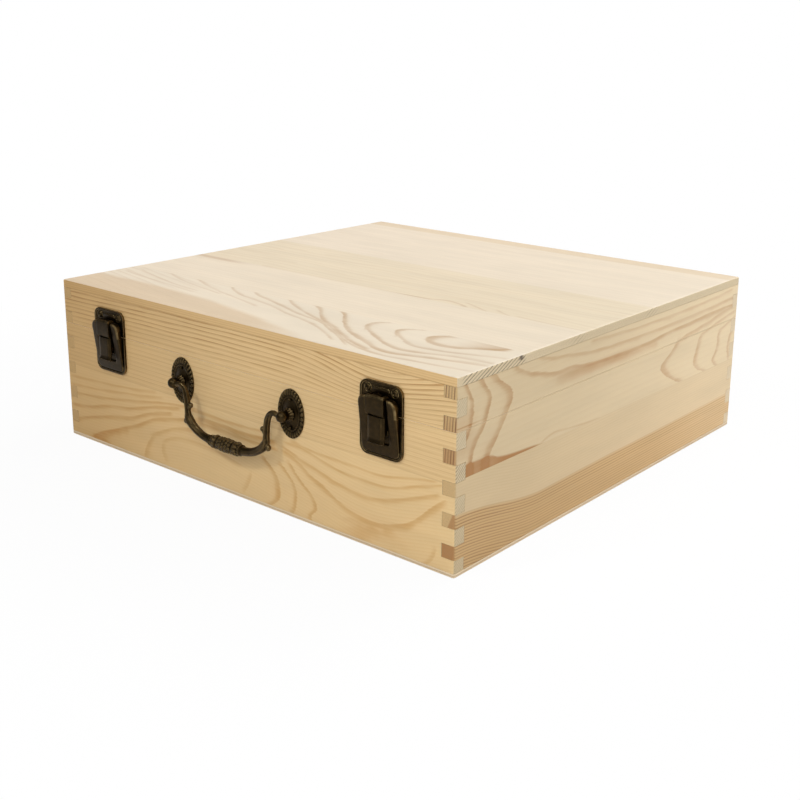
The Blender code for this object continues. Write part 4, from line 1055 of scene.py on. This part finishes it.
def hasp_shell(centre):
    """The hasp's outer skin, open at the back: head block, step at the slot, bevelled tongue and lip."""
    top, slot_top, slot_low, foot = 0.0130, 0.0006, -0.0011, -0.0186
    cheek_full, cheek_end, lip_height, lip_chamfer = -0.0070, -0.0150, 0.0022, 0.0004
    head_round, lip_stand, tongue_end, near = 0.0019, 0.0010, 0.0016, 0.0001
    head_half, tongue_half, flat_half = 0.0075, 0.0072, 0.0049
    head_stand, tongue_stand, side_stand, back = 0.0082, 0.0074, 0.0064, 0.0027
    piece = begin_piece(bpy.ops.mesh.primitive_cube_add, size=1, location=centre)
    scale((2 * head_half, head_stand - back, top - slot_top), centre)
    move(0, -(head_stand + back) / 2, (top + slot_top) / 2)
    pick("faces", lambda face: face.normal.y > 0.9)
    bpy.ops.mesh.delete(type="FACE")
    must_pick("edges", lambda edge: all(vert.co.z > centre.z + top - near for vert in edge.verts)
              and not all(vert.co.y > FRONT - back - near for vert in edge.verts))
    bpy.ops.mesh.bevel(offset=head_round, segments=5, profile=0.5)
    pick("faces", lambda face: face.normal.z < -0.9)
    extrude(0, 0, slot_low - slot_top)
    bottom = centre + Vector((0, -back, slot_low))
    scale((tongue_half / head_half, (tongue_stand - back) / (head_stand - back), 1), bottom)
    for step in (cheek_full - slot_low, cheek_end - cheek_full, foot + lip_height - cheek_end,
                 lip_chamfer - lip_height):
        extrude(0, 0, step)
    pick("verts", lambda vert: vert.co.z < centre.z + foot + 0.0006 and vert.co.y < FRONT - 0.005)
    move(0, -lip_stand, 0)
    pick("faces", lambda face: face.normal.z < -0.5 and face.calc_center_median().z < centre.z + cheek_end)
    extrude(0, 0.0003, -lip_chamfer)
    pick("faces", lambda face: face.normal.z < -0.5 and face.calc_center_median().z < centre.z + cheek_end)
    bpy.ops.mesh.delete(type="ONLY_FACE")
    for limit in (-flat_half, flat_half):
        cut_across((centre.x + limit, 0, 0), (1, 0, 0))
    must_pick("verts", lambda vert: abs(vert.co.x - centre.x) > flat_half + 0.001
              and vert.co.z < centre.z + slot_low + near and vert.co.y < FRONT - 0.005)
    move(0, tongue_stand - side_stand, 0)
    must_pick("verts", lambda vert: vert.co.y > FRONT - back - 0.0002 and vert.co.z < centre.z - 0.0140)
    move(0, -(tongue_stand - tongue_end - back), 0)
    must_pick("faces", lambda face: face.normal.y < -0.5
              and abs(face.calc_center_median().z - centre.z - (slot_top + slot_low) / 2) < 0.0005)
    bpy.ops.mesh.delete(type="FACE")
    must_pick("verts", lambda vert: vert.co.z > centre.z + top - near and vert.co.y > FRONT - back - near)
    move(0, -0.0005, 0)
    cut_lug_notches(centre)
    return piece


def cut_lug_notches(centre):
    """Opens the top of the hasp's head where the lugs of the lid's plate pass as it swings up."""
    near, far, reach = 0.0034, 0.0054, FRONT - 0.0068
    for limit in (-far, -near, near, far):
        cut_across(centre + Vector((limit, 0, 0)), (1, 0, 0))
    cut_across((0, reach, 0), (0, 1, 0))
    must_pick("faces", lambda face: face.normal.z > 0.9
              and near < abs(face.calc_center_median().x - centre.x) < far
              and face.calc_center_median().y > reach)
    bpy.ops.mesh.delete(type="FACE")


# From a pin's end to its full radius: share of the dome's length, and of the radius
PIN_DOME, DOME_LENGTH, PIN_SIDES = ((0, 0.6), (0.4, 0.88), (1, 1)), 0.35, 20


class PINE_BOX_OT_pins(bpy.types.Operator):
    """Add the hasps' and the hinges' pins, with domed ends"""
    bl_idname = "pine_box.pins"
    bl_label = "Pins"

    def execute(self, context):
        for kind, body in (("hasp", "lid"), ("hinge", "base")):
            node = "right_%s_pin" % kind
            low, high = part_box(node)
            radius, half = (high.z - low.z) / 2, (high.x - low.x) / 2
            dome = radius * DOME_LENGTH
            profile = [(dome * along - half, radius * share) for along, share in PIN_DOME]
            profile += [(-along, width) for along, width in reversed(profile)]
            turned_run(middle(node), profile, "X", 1, PIN_SIDES)
            finish_pair(kind + "_pin_turned", kind + "_pin", body, "bronze_worn",
                        middle("left_%s_pin" % kind) - middle(node))
        return {"FINISHED"}


# Screws


# Kinds of screws: the body that each is in, the side that it faces (-1 for the front), and its head's radius
SCREW_KINDS = {
    "keeper": ("base", -1, 0.0025), "hasp": ("lid", -1, 0.0025), "rosette": ("base", -1, 0.0013),
    "hinge_base": ("base", 1, 0.0025), "hinge_lid": ("lid", 1, 0.0025),
}
# Along a screw from its shank, over its head and down into the recess: place from its seat, and share of the radius
SCREW_LINE = (
    (-0.0060, 0.42), (0.0, 0.46), (0.0002, 1.0), (0.00045, 0.99), (0.0008, 0.88), (0.00105, 0.68), (0.00115, 0.50),
    (0.0010, 0.42), (0.0006, 0.26),
)
SCREW_TIP, SCREW_TIP_RADIUS, SCREW_SIDES = 0.0074, 0.0001, 24
HEAD_HEIGHT, RECESS_SEAT, RECESS_ABOVE = 0.0012, 0.0003, 0.0005
# The cross of the recess, as shares of the head's radius, and how far its arms are drawn out
CROSS_REACH, CROSS_HALF, CROSS_STRETCH = 0.45, 0.06, 1.75


def screw_piece(seat, facing, radius, name, body, node):
    """A pan-head screw with a crossed recess; facing is -1 on the front and 1 on the back."""
    head = [(along, radius * share) for along, share in SCREW_LINE]
    turned_run(seat, [(-SCREW_TIP, SCREW_TIP_RADIUS), *head, (RECESS_SEAT, 0.0)], "Y", facing, SCREW_SIDES)
    must_pick("verts", lambda vert: (vert.co.y - seat.y) * facing > RECESS_ABOVE
              and math.hypot(vert.co.x - seat.x, vert.co.z - seat.z) < radius * CROSS_REACH
              and min(abs(vert.co.x - seat.x), abs(vert.co.z - seat.z)) < radius * CROSS_HALF)
    scale((CROSS_STRETCH, 1, CROSS_STRETCH), seat)
    return finish_piece(name, body, "screw_steel", [node])


class PINE_BOX_OT_screws(bpy.types.Operator):
    """Add the screws of the hasps, the rosettes and the hinges"""
    bl_idname = "pine_box.screws"
    bl_label = "Screws"

    def execute(self, context):
        for kind, (body, facing, radius) in SCREW_KINDS.items():
            first = "right_%s_screw_1" % kind
            low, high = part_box(first)
            crown = low.y if facing < 0 else high.y
            seat = Vector(((low.x + high.x) / 2, crown - facing * HEAD_HEIGHT, (low.z + high.z) / 2))
            screw = screw_piece(seat, facing, radius, first + "_driven", body, first)
            for side in SIDES:
                for number in (1, 2):
                    node = "%s_%s_screw_%d" % (side, kind, number)
                    if node != first:
                        copy_piece(screw, node + "_driven", middle(node) - middle(first), body,
                                   [node])
        return {"FINISHED"}


# Drop handle


# Rings of a rosette inward from its rim: share of its half width, how far it stands out, and if it has petals
ROSETTE_RINGS = (
    (0.985, 0.0013, True), (0.93, 0.0020, True), (0.85, 0.0021, True), (0.775, 0.0017, True),
    (0.755, 0.0012, False), (0.72, 0.0011, False), (0.70, 0.0015, False), (0.67, 0.0015, False),
    (0.65, 0.0011, False), (0.56, 0.0012, False), (0.45, 0.0013, False), (0.33, 0.0021, False),
)
ROSETTE_RIM, PETAL_GROOVE, PETAL_NOTCH = 0.0007, 0.00075, 0.025


class PINE_BOX_OT_rosettes(bpy.types.Operator):
    """Add the two oval rosettes with their ring of gadroons"""
    bl_idname = "pine_box.rosettes"
    bl_label = "Rosettes"

    def execute(self, context):
        centre = POST_MIDDLE["right"]
        low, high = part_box("right_rosette")
        half_x, half_z = (high.x - low.x) / 2, (high.z - low.z) / 2
        count = sizes().rosette_petals
        ring_start(centre + Vector((0, -SEAT, 0)), half_x, "Y", count * 6)
        bpy.ops.mesh.edge_face_add()
        scale((1, 1, half_z / half_x), centre)
        extrude(0, -ROSETTE_RIM, 0)
        share = 1.0
        for wanted, stand, has_petals in ROSETTE_RINGS:
            extrude(0, 0, 0)
            scale((wanted / share, 0, wanted / share), centre)
            move(0, -stand, 0)
            share = wanted
            if has_petals:
                shape_petals(centre, half_x, half_z, count, share)
        finish_pair("rosette_cast", "rosette", "base", "bronze_cast",
                    POST_MIDDLE["left"] - centre, None, 60)
        return {"FINISHED"}


def shape_petals(centre, half_x, half_z, count, share):
    """Sinks the grooves between the gadroons of the ring that is selected, and keeps that ring selected."""
    mesh = bmesh.from_edit_mesh(bpy.context.object.data)
    ring = [vert for vert in mesh.verts if vert.select]
    for vert in ring:
        angle = math.atan2((vert.co.z - centre.z) / half_z, (vert.co.x - centre.x) / half_x)
        hollow = (1 - math.cos(count * angle)) / 2
        vert.co.y += PETAL_GROOVE * (1 - hollow) ** 2
        if share > 0.95:
            inward = 1 - PETAL_NOTCH * (1 - hollow) ** 2
            vert.co.x = centre.x + (vert.co.x - centre.x) * inward
            vert.co.z = centre.z + (vert.co.z - centre.z) * inward
    bmesh.update_edit_mesh(bpy.context.object.data)


# The trumpet foot of a handle post: how far from the wall, and the radius there
POST_FOOT = (
    (0.0006, 0.0026), (0.0022, 0.0028), (0.0024, 0.0049), (0.0028, 0.0050), (0.0032, 0.0047),
    (0.0036, 0.0041), (0.0042, 0.0036), (0.0050, 0.0032), (0.0057, 0.0030),
)
NECK_RADIUS, BALL_STEPS, POST_SIDES = 0.0029, 15, 36


class PINE_BOX_OT_posts(bpy.types.Operator):
    """Add the two handle posts: a fluted trumpet foot, a neck and a ball head"""
    bl_idname = "pine_box.posts"
    bl_label = "Handle Posts"

    def execute(self, context):
        centre = POST_MIDDLE["right"]
        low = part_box("right_handle_post")[0]
        ball = sizes().ball_radius
        stand = FRONT - low.y - ball
        profile = list(POST_FOOT)
        neck = math.asin(NECK_RADIUS / ball)
        for step in range(1, BALL_STEPS):
            angle = neck + (math.pi - neck) * step / BALL_STEPS
            profile.append((stand - ball * math.cos(angle), ball * math.sin(angle)))
        profile.append((stand + ball, 0.0))
        turned_run(centre, profile, "Y", -1, POST_SIDES)
        must_pick("verts", lambda vert: 0.0023 < FRONT - vert.co.y < 0.0052
                  and round(math.atan2(vert.co.z - centre.z, vert.co.x - centre.x) / (math.pi / 18)) % 3 == 0)
        scale((0.86, 1, 0.86), centre)
        finish_pair("handle_post_turned", "handle_post", "base", "bronze_worn",
                    POST_MIDDLE["left"] - centre, None, 50)
        return {"FINISHED"}


# Half of the bail's middle line: shares of the half span and of the drop, and the radius there
BAIL_LINE = [
    (0.935, 0.000, 0.0019), (0.900, -0.016, 0.0019), (0.870, -0.030, 0.0019), (0.838, -0.018, 0.0020),
    (0.808, 0.012, 0.0021), (0.782, 0.058, 0.0022), (0.762, 0.120, 0.0023), (0.748, 0.200, 0.0024),
    (0.738, 0.290, 0.0024), (0.732, 0.380, 0.0026), (0.728, 0.470, 0.0024), (0.726, 0.550, 0.0025),
    (0.722, 0.620, 0.0028), (0.706, 0.686, 0.0032), (0.680, 0.745, 0.0033), (0.642, 0.802, 0.0031),
    (0.595, 0.855, 0.0030), (0.528, 0.915, 0.0030), (0.455, 0.960, 0.0030), (0.375, 0.988, 0.0031),
    (0.320, 0.998, 0.0033),
]
# From the end of the grip to its middle: shares of the grip's half length, and of its full radius
GRIP_LINE = [
    (1.00, 0.62), (0.97, 0.74), (0.94, 0.74), (0.91, 0.62), (0.85, 0.64), (0.76, 0.74), (0.66, 0.84), (0.58, 0.88),
    (0.54, 0.76), (0.46, 0.74), (0.38, 0.80), (0.26, 0.84), (0.12, 0.86), (0.0, 0.87),
]
GRIP_HALF = 0.0165
# Rows of beads: place from the grip's middle, ring as a share of the full radius, bead radius, count and stretch
GRIP_BEADS = (
    (0.0, 0.765, 0.00120, 12, 1.0), (0.0030, 0.76, 0.00115, 12, 1.1), (0.0059, 0.72, 0.00115, 10, 1.3),
    (0.0112, 0.72, 0.00125, 9, 2.0), (0.0146, 0.60, 0.0008, 12, 1.0),
)


# How far the grip's middle line lies above the foot of the bail
GRIP_STAND = 0.0055
# The bail's pins and the shoulders behind them: radii, and how far in from the posts' middles they meet
BAIL_PIN, BAIL_SHOULDER, PIN_END, SHOULDER_START = 0.0013, 0.0019, 0.0041, 0.0042
# The grooves beside the round band on the limbs: place off its middle, half width, and the share left between
# them; they run from so far past the grip's end to a share of the half span
GROOVE_OFF, GROOVE_HALF, GROOVE_LEFT, GROOVE_START, GROOVE_END = 0.0018, 0.0005, 0.72, 0.0015, 0.80
# Buds: share of the half span and metres beyond it, share of the drop, radius and stretch; then each one's
# collar: metres outward and upward from the bud, and its radius
BUDS = (
    (0.728, -0.0032, 0.38, 0.0019, (1.15, 1.0, 1.05), 0.0014, -0.0012, 0.0018),
    (0.722, 0.0021, 0.745, 0.0021, (1.0, 1.0, 1.15), -0.0014, 0.0018, 0.0020),
)
COLLAR_STRETCH = (1, 1, 1.4)


def bail_stations(pivot, half_span, drop, pin_reach):
    """The bail's line from its right pin's end to its left one: places and radii."""
    half = [(Vector((half_span + pin_reach, 0, 0)), BAIL_PIN), (Vector((half_span - PIN_END, 0, 0)), BAIL_PIN),
            (Vector((half_span - SHOULDER_START, 0, 0)), BAIL_SHOULDER)]
    half += [(Vector((x * half_span, 0, -z * drop)), radius) for x, z, radius in BAIL_LINE]
    half += [(Vector((x * GRIP_HALF, 0, -drop)), share * sizes().grip_radius) for x, share in GRIP_LINE]
    mirror = [(Vector((-place.x, 0, place.z)), radius) for place, radius in half[-2::-1]]
    return [(pivot + place, radius) for place, radius in half + mirror]


class PINE_BOX_OT_bail(bpy.types.Operator):
    """Add the cast drop handle: pins, arched limbs with buds, a fluted sweep and a beaded grip"""
    bl_idname = "pine_box.bail"
    bl_label = "Drop Handle"

    def execute(self, context):
        low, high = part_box("handle_bail")
        pivot = Vector(next(joint["pos_m"] for joint in frame["joints"] if joint["child"] == "bail"))
        pivot.x = (low.x + high.x) / 2
        half_span = (POST_MIDDLE["right"].x - POST_MIDDLE["left"].x) / 2
        drop = pivot.z - low.z - GRIP_STAND
        stations = bail_stations(pivot, half_span, drop, (high.x - low.x) / 2 - half_span)
        sweep(stations, 24)
        groove_sweeps(pivot, half_span)
        for sign in (-1, 1):
            add_buds(pivot, half_span, drop, sign)
        bead_grip(pivot, drop)
        finish_piece("handle_bail_cast", "bail", "bronze_worn", ["handle_bail"], None, 45)
        return {"FINISHED"}


def sweep(stations, sides):
    """Extrudes a ring along places in an upright plane, turning and resizing it at each one."""
    place, radius = stations[0]
    ring_start(place, radius, "X", sides)
    bpy.ops.mesh.edge_face_add()
    heading = math.pi
    for index in range(1, len(stations)):
        there, new_radius = stations[index]
        extrude(*(there - place))
        ahead = stations[min(index + 1, len(stations) - 1)][0] - place
        new_heading = math.atan2(ahead.z, ahead.x) if ahead.length > 1e-7 else heading
        bend = (new_heading - heading + math.pi) % (2 * math.pi) - math.pi
        if abs(bend) > 1e-4:
            turn(-bend, "Y", there)
        share = new_radius / radius
        if abs(share - 1) > 1e-4:
            scale((share, share, share), there)
        place, radius, heading = there, new_radius, new_heading


def groove_sweeps(pivot, half_span):
    """Sinks two lines along the limbs, so that a round band stands between them."""
    def is_groove(vert):
        offset = vert.co - pivot
        beside = GRIP_HALF + GROOVE_START < abs(offset.x) < half_span * GROOVE_END
        return beside and abs(abs(offset.y) - GROOVE_OFF) < GROOVE_HALF

    must_pick("verts", is_groove)
    scale((1, GROOVE_LEFT, 1), pivot)


def add_ball(place, radius, values, segments=12):
    """Adds a small rounded swelling to the piece in edit mode."""
    select_none()
    bpy.ops.mesh.primitive_uv_sphere_add(
        segments=segments, ring_count=max(6, segments // 2), radius=radius, location=place)
    if values != (1, 1, 1):
        scale(values, place)


def add_buds(pivot, half_span, drop, sign):
    """A bud inside the upper limb and a leaf outside the lower one, each with a small collar."""
    for share, beyond, down, radius, stretch, outward, upward, collar in BUDS:
        bud = pivot + Vector((sign * (share * half_span + beyond), 0, -down * drop))
        add_ball(bud, radius, stretch)
        add_ball(bud + Vector((sign * outward, 0, upward)), collar, COLLAR_STRETCH)


def bead_grip(pivot, drop):
    """Sets beads round the middle of the grip, and leaf lobes round its swelling ends."""
    axis = pivot + Vector((0, 0, -drop))
    full = sizes().grip_radius
    for row, (across, ring, radius, count, stretch) in enumerate(GRIP_BEADS):
        for sign in ((1,) if across == 0 else (-1, 1)):
            for step in range(count):
                angle = 2 * math.pi * (step + 0.5 * (row % 2)) / count
                spoke = Vector((0, math.cos(angle), math.sin(angle))) * full * ring
                add_ball(axis + Vector((sign * across, 0, 0)) + spoke, radius, (stretch, 1, 1), 8)


# Rear hinges

LEAF_WIDTH, LEAF_HEIGHT, LEAF_GAP, LEAF_THICKNESS, LEAF_ROUND = 0.036, 0.0200, 0.0003, 0.0010, 0.003
KNUCKLES, KNUCKLE_GAP, KNUCKLE_CLEAR = 5, 0.00015, 0.0034
KNUCKLE_PITCH = LEAF_WIDTH / KNUCKLES
KNUCKLE_RADIUS, KNUCKLE_BORE = 0.0025, 0.00135


class PINE_BOX_OT_hinges(bpy.types.Operator):
    """Add the rear hinges' leaves with rolled knuckles"""
    bl_idname = "pine_box.hinges"
    bl_label = "Rear Hinges"

    def execute(self, context):
        centre = HINGE_MIDDLE["right"]
        axis = middle("right_hinge_pin")
        for kind, up in (("base", -1), ("lid", 1)):
            low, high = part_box("right_hinge_%s_leaf" % kind)
            edge = PARTING + up * LEAF_GAP
            far = PARTING + up * LEAF_HEIGHT
            spans = ((low.x, min(edge, far)), (high.x, max(edge, far)))
            rounds = (LEAF_ROUND, 0) if up < 0 else (0, LEAF_ROUND)
            plate_start(*spans, BACK + SEAT, rounds)
            extrude(0, LEAF_THICKNESS, 0)
            cut_knuckle_gaps(centre, up)
            for index in range(KNUCKLES):
                if (index % 2 == 1) == (up > 0):
                    start = centre.x - LEAF_WIDTH / 2 + index * KNUCKLE_PITCH
                    add_knuckle(start + KNUCKLE_GAP, start + KNUCKLE_PITCH - KNUCKLE_GAP, axis)
            finish_pair("hinge_%s_leaf_rolled" % kind, "hinge_%s_leaf" % kind, kind, "bronze_plate",
                        HINGE_MIDDLE["left"] - centre, (0.0002, 2))
        return {"FINISHED"}


def cut_knuckle_gaps(centre, up):
    """Cuts the leaf back where the other leaf's knuckles turn."""
    line, start = PARTING + up * KNUCKLE_CLEAR, centre.x - LEAF_WIDTH / 2
    cut_across((0, 0, line), (0, 0, 1))
    for index in range(1, KNUCKLES):
        cut_across((start + index * KNUCKLE_PITCH, 0, 0), (1, 0, 0))

    def in_gap(face):
        place = face.calc_center_median()
        index = int((place.x - start) / KNUCKLE_PITCH)
        return (index % 2 == 1) != (up > 0) and (place.z - line) * up < -1e-5

    must_pick("faces", in_gap)
    bpy.ops.mesh.delete(type="FACE")
    bpy.ops.mesh.select_mode(type="EDGE")
    bpy.ops.mesh.select_all(action="DESELECT")
    bpy.ops.mesh.select_non_manifold()
    bpy.ops.mesh.fill_holes(sides=0)


def add_knuckle(start, end, axis):
    """A rolled knuckle between two places across the hinge, hollow for the pin."""
    select_none()
    place = Vector((start, axis.y, axis.z))
    bpy.ops.mesh.primitive_circle_add(vertices=28, radius=KNUCKLE_BORE, location=place, rotation=FACING_SIDE)
    share = KNUCKLE_RADIUS / KNUCKLE_BORE
    extrude(0, 0, 0)
    scale((share, share, share), place)
    extrude(end - start, 0, 0)
    extrude(0, 0, 0)
    scale((1 / share, 1 / share, 1 / share), Vector((end, axis.y, axis.z)))
    extrude(start - end, 0, 0)


# Boards and stage


class PINE_BOX_OT_boards(bpy.types.Operator):
    """Give the case's boards their grain and make the bronze finishes"""
    bl_idname = "pine_box.boards"
    bl_label = "Boards"

    def execute(self, context):
        finishes = {
            "front": front_finish("pine_front_grain", False), "back": front_finish("pine_back_grain", True),
            "right": side_finish("pine_right_grain", False), "left": side_finish("pine_left_grain", True),
        }
        for part in ("base", "lid"):
            for side, material in finishes.items():
                frame["nodes"][part + "_" + side].material_slots[0].material = material
        frame["nodes"]["lid_top"].material_slots[0].material = top_finish()
        frame["nodes"]["base_panel"].material_slots[0].material = plywood_finish()
        for name, polish in BRONZE_POLISH:
            bronze_finish(name, polish)
        return {"FINISHED"}


# Lamps: name, place, target, diameter and watts
LAMPS = (
    ("overhead", (0.35, 0.25, 1.5), (0, 0, 0.1), 1.5, 7.7),
    ("front_key", (-0.28, -1.15, 1.05), (0, -0.15, 0.06), 0.2, 4.4),
    ("near_right_front", (0.60, -0.85, 0.70), (0.05, -0.1, 0.05), 0.6, 4.2),
    ("right_back_fill", (1.3, 0.9, 0.7), (0.15, 0.15, 0.05), 0.9, 6.2),
    ("back_top", (0.2, 1.3, 1.3), (0, 0, 0.1), 0.9, 16.2),
)
# The camera that was fitted to the photograph's straight edges: its pixels, then millimetres, metres and degrees
PICTURE, FOCAL, PICTURE_MIDDLE = 800, 1172.753, (433.142, 322.042)
SENSOR = 36
CAMERA_PLACE, CAMERA_TURN = (0.604397, -0.714544, 0.334800), (75.51523, -0.78952, 39.18680)
ROOM_LIGHT, ROOM_STRENGTH = (1.0, 0.985, 0.965, 1), 0.15


def add_lamp(name, place, target, size, power):
    lamp = bpy.data.lights.new(name, "AREA")
    lamp.shape = "DISK"
    lamp.size = size
    lamp.energy = power
    holder = bpy.data.objects.new(name, lamp)
    bpy.context.scene.collection.objects.link(holder)
    holder.location = place
    holder.rotation_euler = (Vector(target) - Vector(place)).to_track_quat("-Z", "Y").to_euler()


class PINE_BOX_OT_stage(bpy.types.Operator):
    """Add the pale floor, the soft lamps and the camera"""
    bl_idname = "pine_box.stage"
    bl_label = "Stage"

    def execute(self, context):
        begin_piece(bpy.ops.mesh.primitive_grid_add, x_subdivisions=8, y_subdivisions=8, size=8)
        bpy.ops.object.mode_set(mode="OBJECT")
        floor = bpy.context.object
        floor.name = "floor"
        floor.data.materials.append(floor_finish())
        light_room(context.scene)
        for lamp in LAMPS:
            add_lamp(*lamp)
        camera = bpy.data.cameras.new("photo_view")
        camera.sensor_width = SENSOR
        camera.lens = FOCAL / PICTURE * SENSOR
        camera.shift_x = (PICTURE / 2 - PICTURE_MIDDLE[0]) / PICTURE
        camera.shift_y = (PICTURE_MIDDLE[1] - PICTURE / 2) / PICTURE
        camera.clip_start = 0.01
        holder = bpy.data.objects.new("photo_view", camera)
        context.scene.collection.objects.link(holder)
        holder.location = CAMERA_PLACE
        holder.rotation_euler = [math.radians(angle) for angle in CAMERA_TURN]
        context.scene.camera = holder
        context.scene.view_settings.view_transform = "Standard"
        return {"FINISHED"}


def floor_finish():
    """Pale floor that the camera sees as white, less the faint shadow under the box."""
    finish = Finish("pale_floor")
    x, y, z = finish.places()
    grain = finish.noise((x / 40, y / 40, z), 2)
    finish.set(
        Base_Color=finish.mix(grain * 0.02, (0.86, 0.86, 0.86), (0.80, 0.80, 0.80)),
        Roughness=0.8 + grain * 0.1,
    )
    far = (x * x + y * y) ** 0.5
    seen = finish.add("LightPath", None, None, "Is Camera Ray")
    glow = finish.add("Emission", None, {"Color": (1, 1, 1, 1), "Strength": 1.0})
    share = seen * (0.95 + far.rise(330, 620) * 0.05)
    blend = finish.add("MixShader", None, {0: share, 2: glow})
    finish.tree.links.new(finish.shader.outputs[0], blend.socket.node.inputs[1])
    finish.tree.links.new(blend.socket, finish.tree.nodes["Material Output"].inputs["Surface"])
    return finish.material


def light_room(scene):
    """A room that lights softly, and that the camera sees as white."""
    world = bpy.data.worlds.new("soft_room")
    scene.world = world
    world.use_nodes = True
    nodes, links = world.node_tree.nodes, world.node_tree.links
    nodes.clear()
    path = nodes.new("ShaderNodeLightPath")
    soft, seen = nodes.new("ShaderNodeBackground"), nodes.new("ShaderNodeBackground")
    soft.inputs["Color"].default_value = ROOM_LIGHT
    soft.inputs["Strength"].default_value = ROOM_STRENGTH
    seen.inputs["Color"].default_value = (1, 1, 1, 1)
    seen.inputs["Strength"].default_value = 1.0
    mix, output = nodes.new("ShaderNodeMixShader"), nodes.new("ShaderNodeOutputWorld")
    links.new(path.outputs["Is Camera Ray"], mix.inputs[0])
    links.new(soft.outputs[0], mix.inputs[1])
    links.new(seen.outputs[0], mix.inputs[2])
    links.new(mix.outputs[0], output.inputs["Surface"])


class PINE_BOX_PT_panel(bpy.types.Panel):
    """Pine box pieces"""
    bl_idname = "PINE_BOX_PT_panel"
    bl_label = "Pine Box"
    bl_space_type = "VIEW_3D"
    bl_region_type = "UI"
    bl_category = "Pine Box"

    def draw(self, context):
        for group in (context.scene.box_fitting_sizes, context.scene.box_colours):
            column = self.layout.column()
            for name in group.__annotations__:
                column.prop(group, name)
        for operator in OPERATORS:
            self.layout.operator(operator.bl_idname)


OPERATORS = (
    PINE_BOX_OT_boards, PINE_BOX_OT_hasp_plates, PINE_BOX_OT_keepers, PINE_BOX_OT_hasps, PINE_BOX_OT_pins,
    PINE_BOX_OT_screws, PINE_BOX_OT_rosettes, PINE_BOX_OT_posts, PINE_BOX_OT_bail, PINE_BOX_OT_hinges,
    PINE_BOX_OT_stage,
)
CLASSES = (BoxFittingSizes, BoxColours, *OPERATORS, PINE_BOX_PT_panel)


def register():
    for each in CLASSES:
        bpy.utils.register_class(each)
    bpy.types.Scene.box_fitting_sizes = bpy.props.PointerProperty(type=BoxFittingSizes)
    bpy.types.Scene.box_colours = bpy.props.PointerProperty(type=BoxColours)


def unregister():
    del bpy.types.Scene.box_colours
    del bpy.types.Scene.box_fitting_sizes
    for each in reversed(CLASSES):
        bpy.utils.unregister_class(each)


def main():
    register()
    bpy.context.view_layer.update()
    bpy.ops.pine_box.boards()
    bpy.ops.pine_box.hasp_plates()
    bpy.ops.pine_box.keepers()
    bpy.ops.pine_box.hasps()
    bpy.ops.pine_box.pins()
    bpy.ops.pine_box.screws()
    bpy.ops.pine_box.rosettes()
    bpy.ops.pine_box.posts()
    bpy.ops.pine_box.bail()
    bpy.ops.pine_box.hinges()
    bpy.ops.pine_box.stage()


if __name__ == "__main__":
    main()
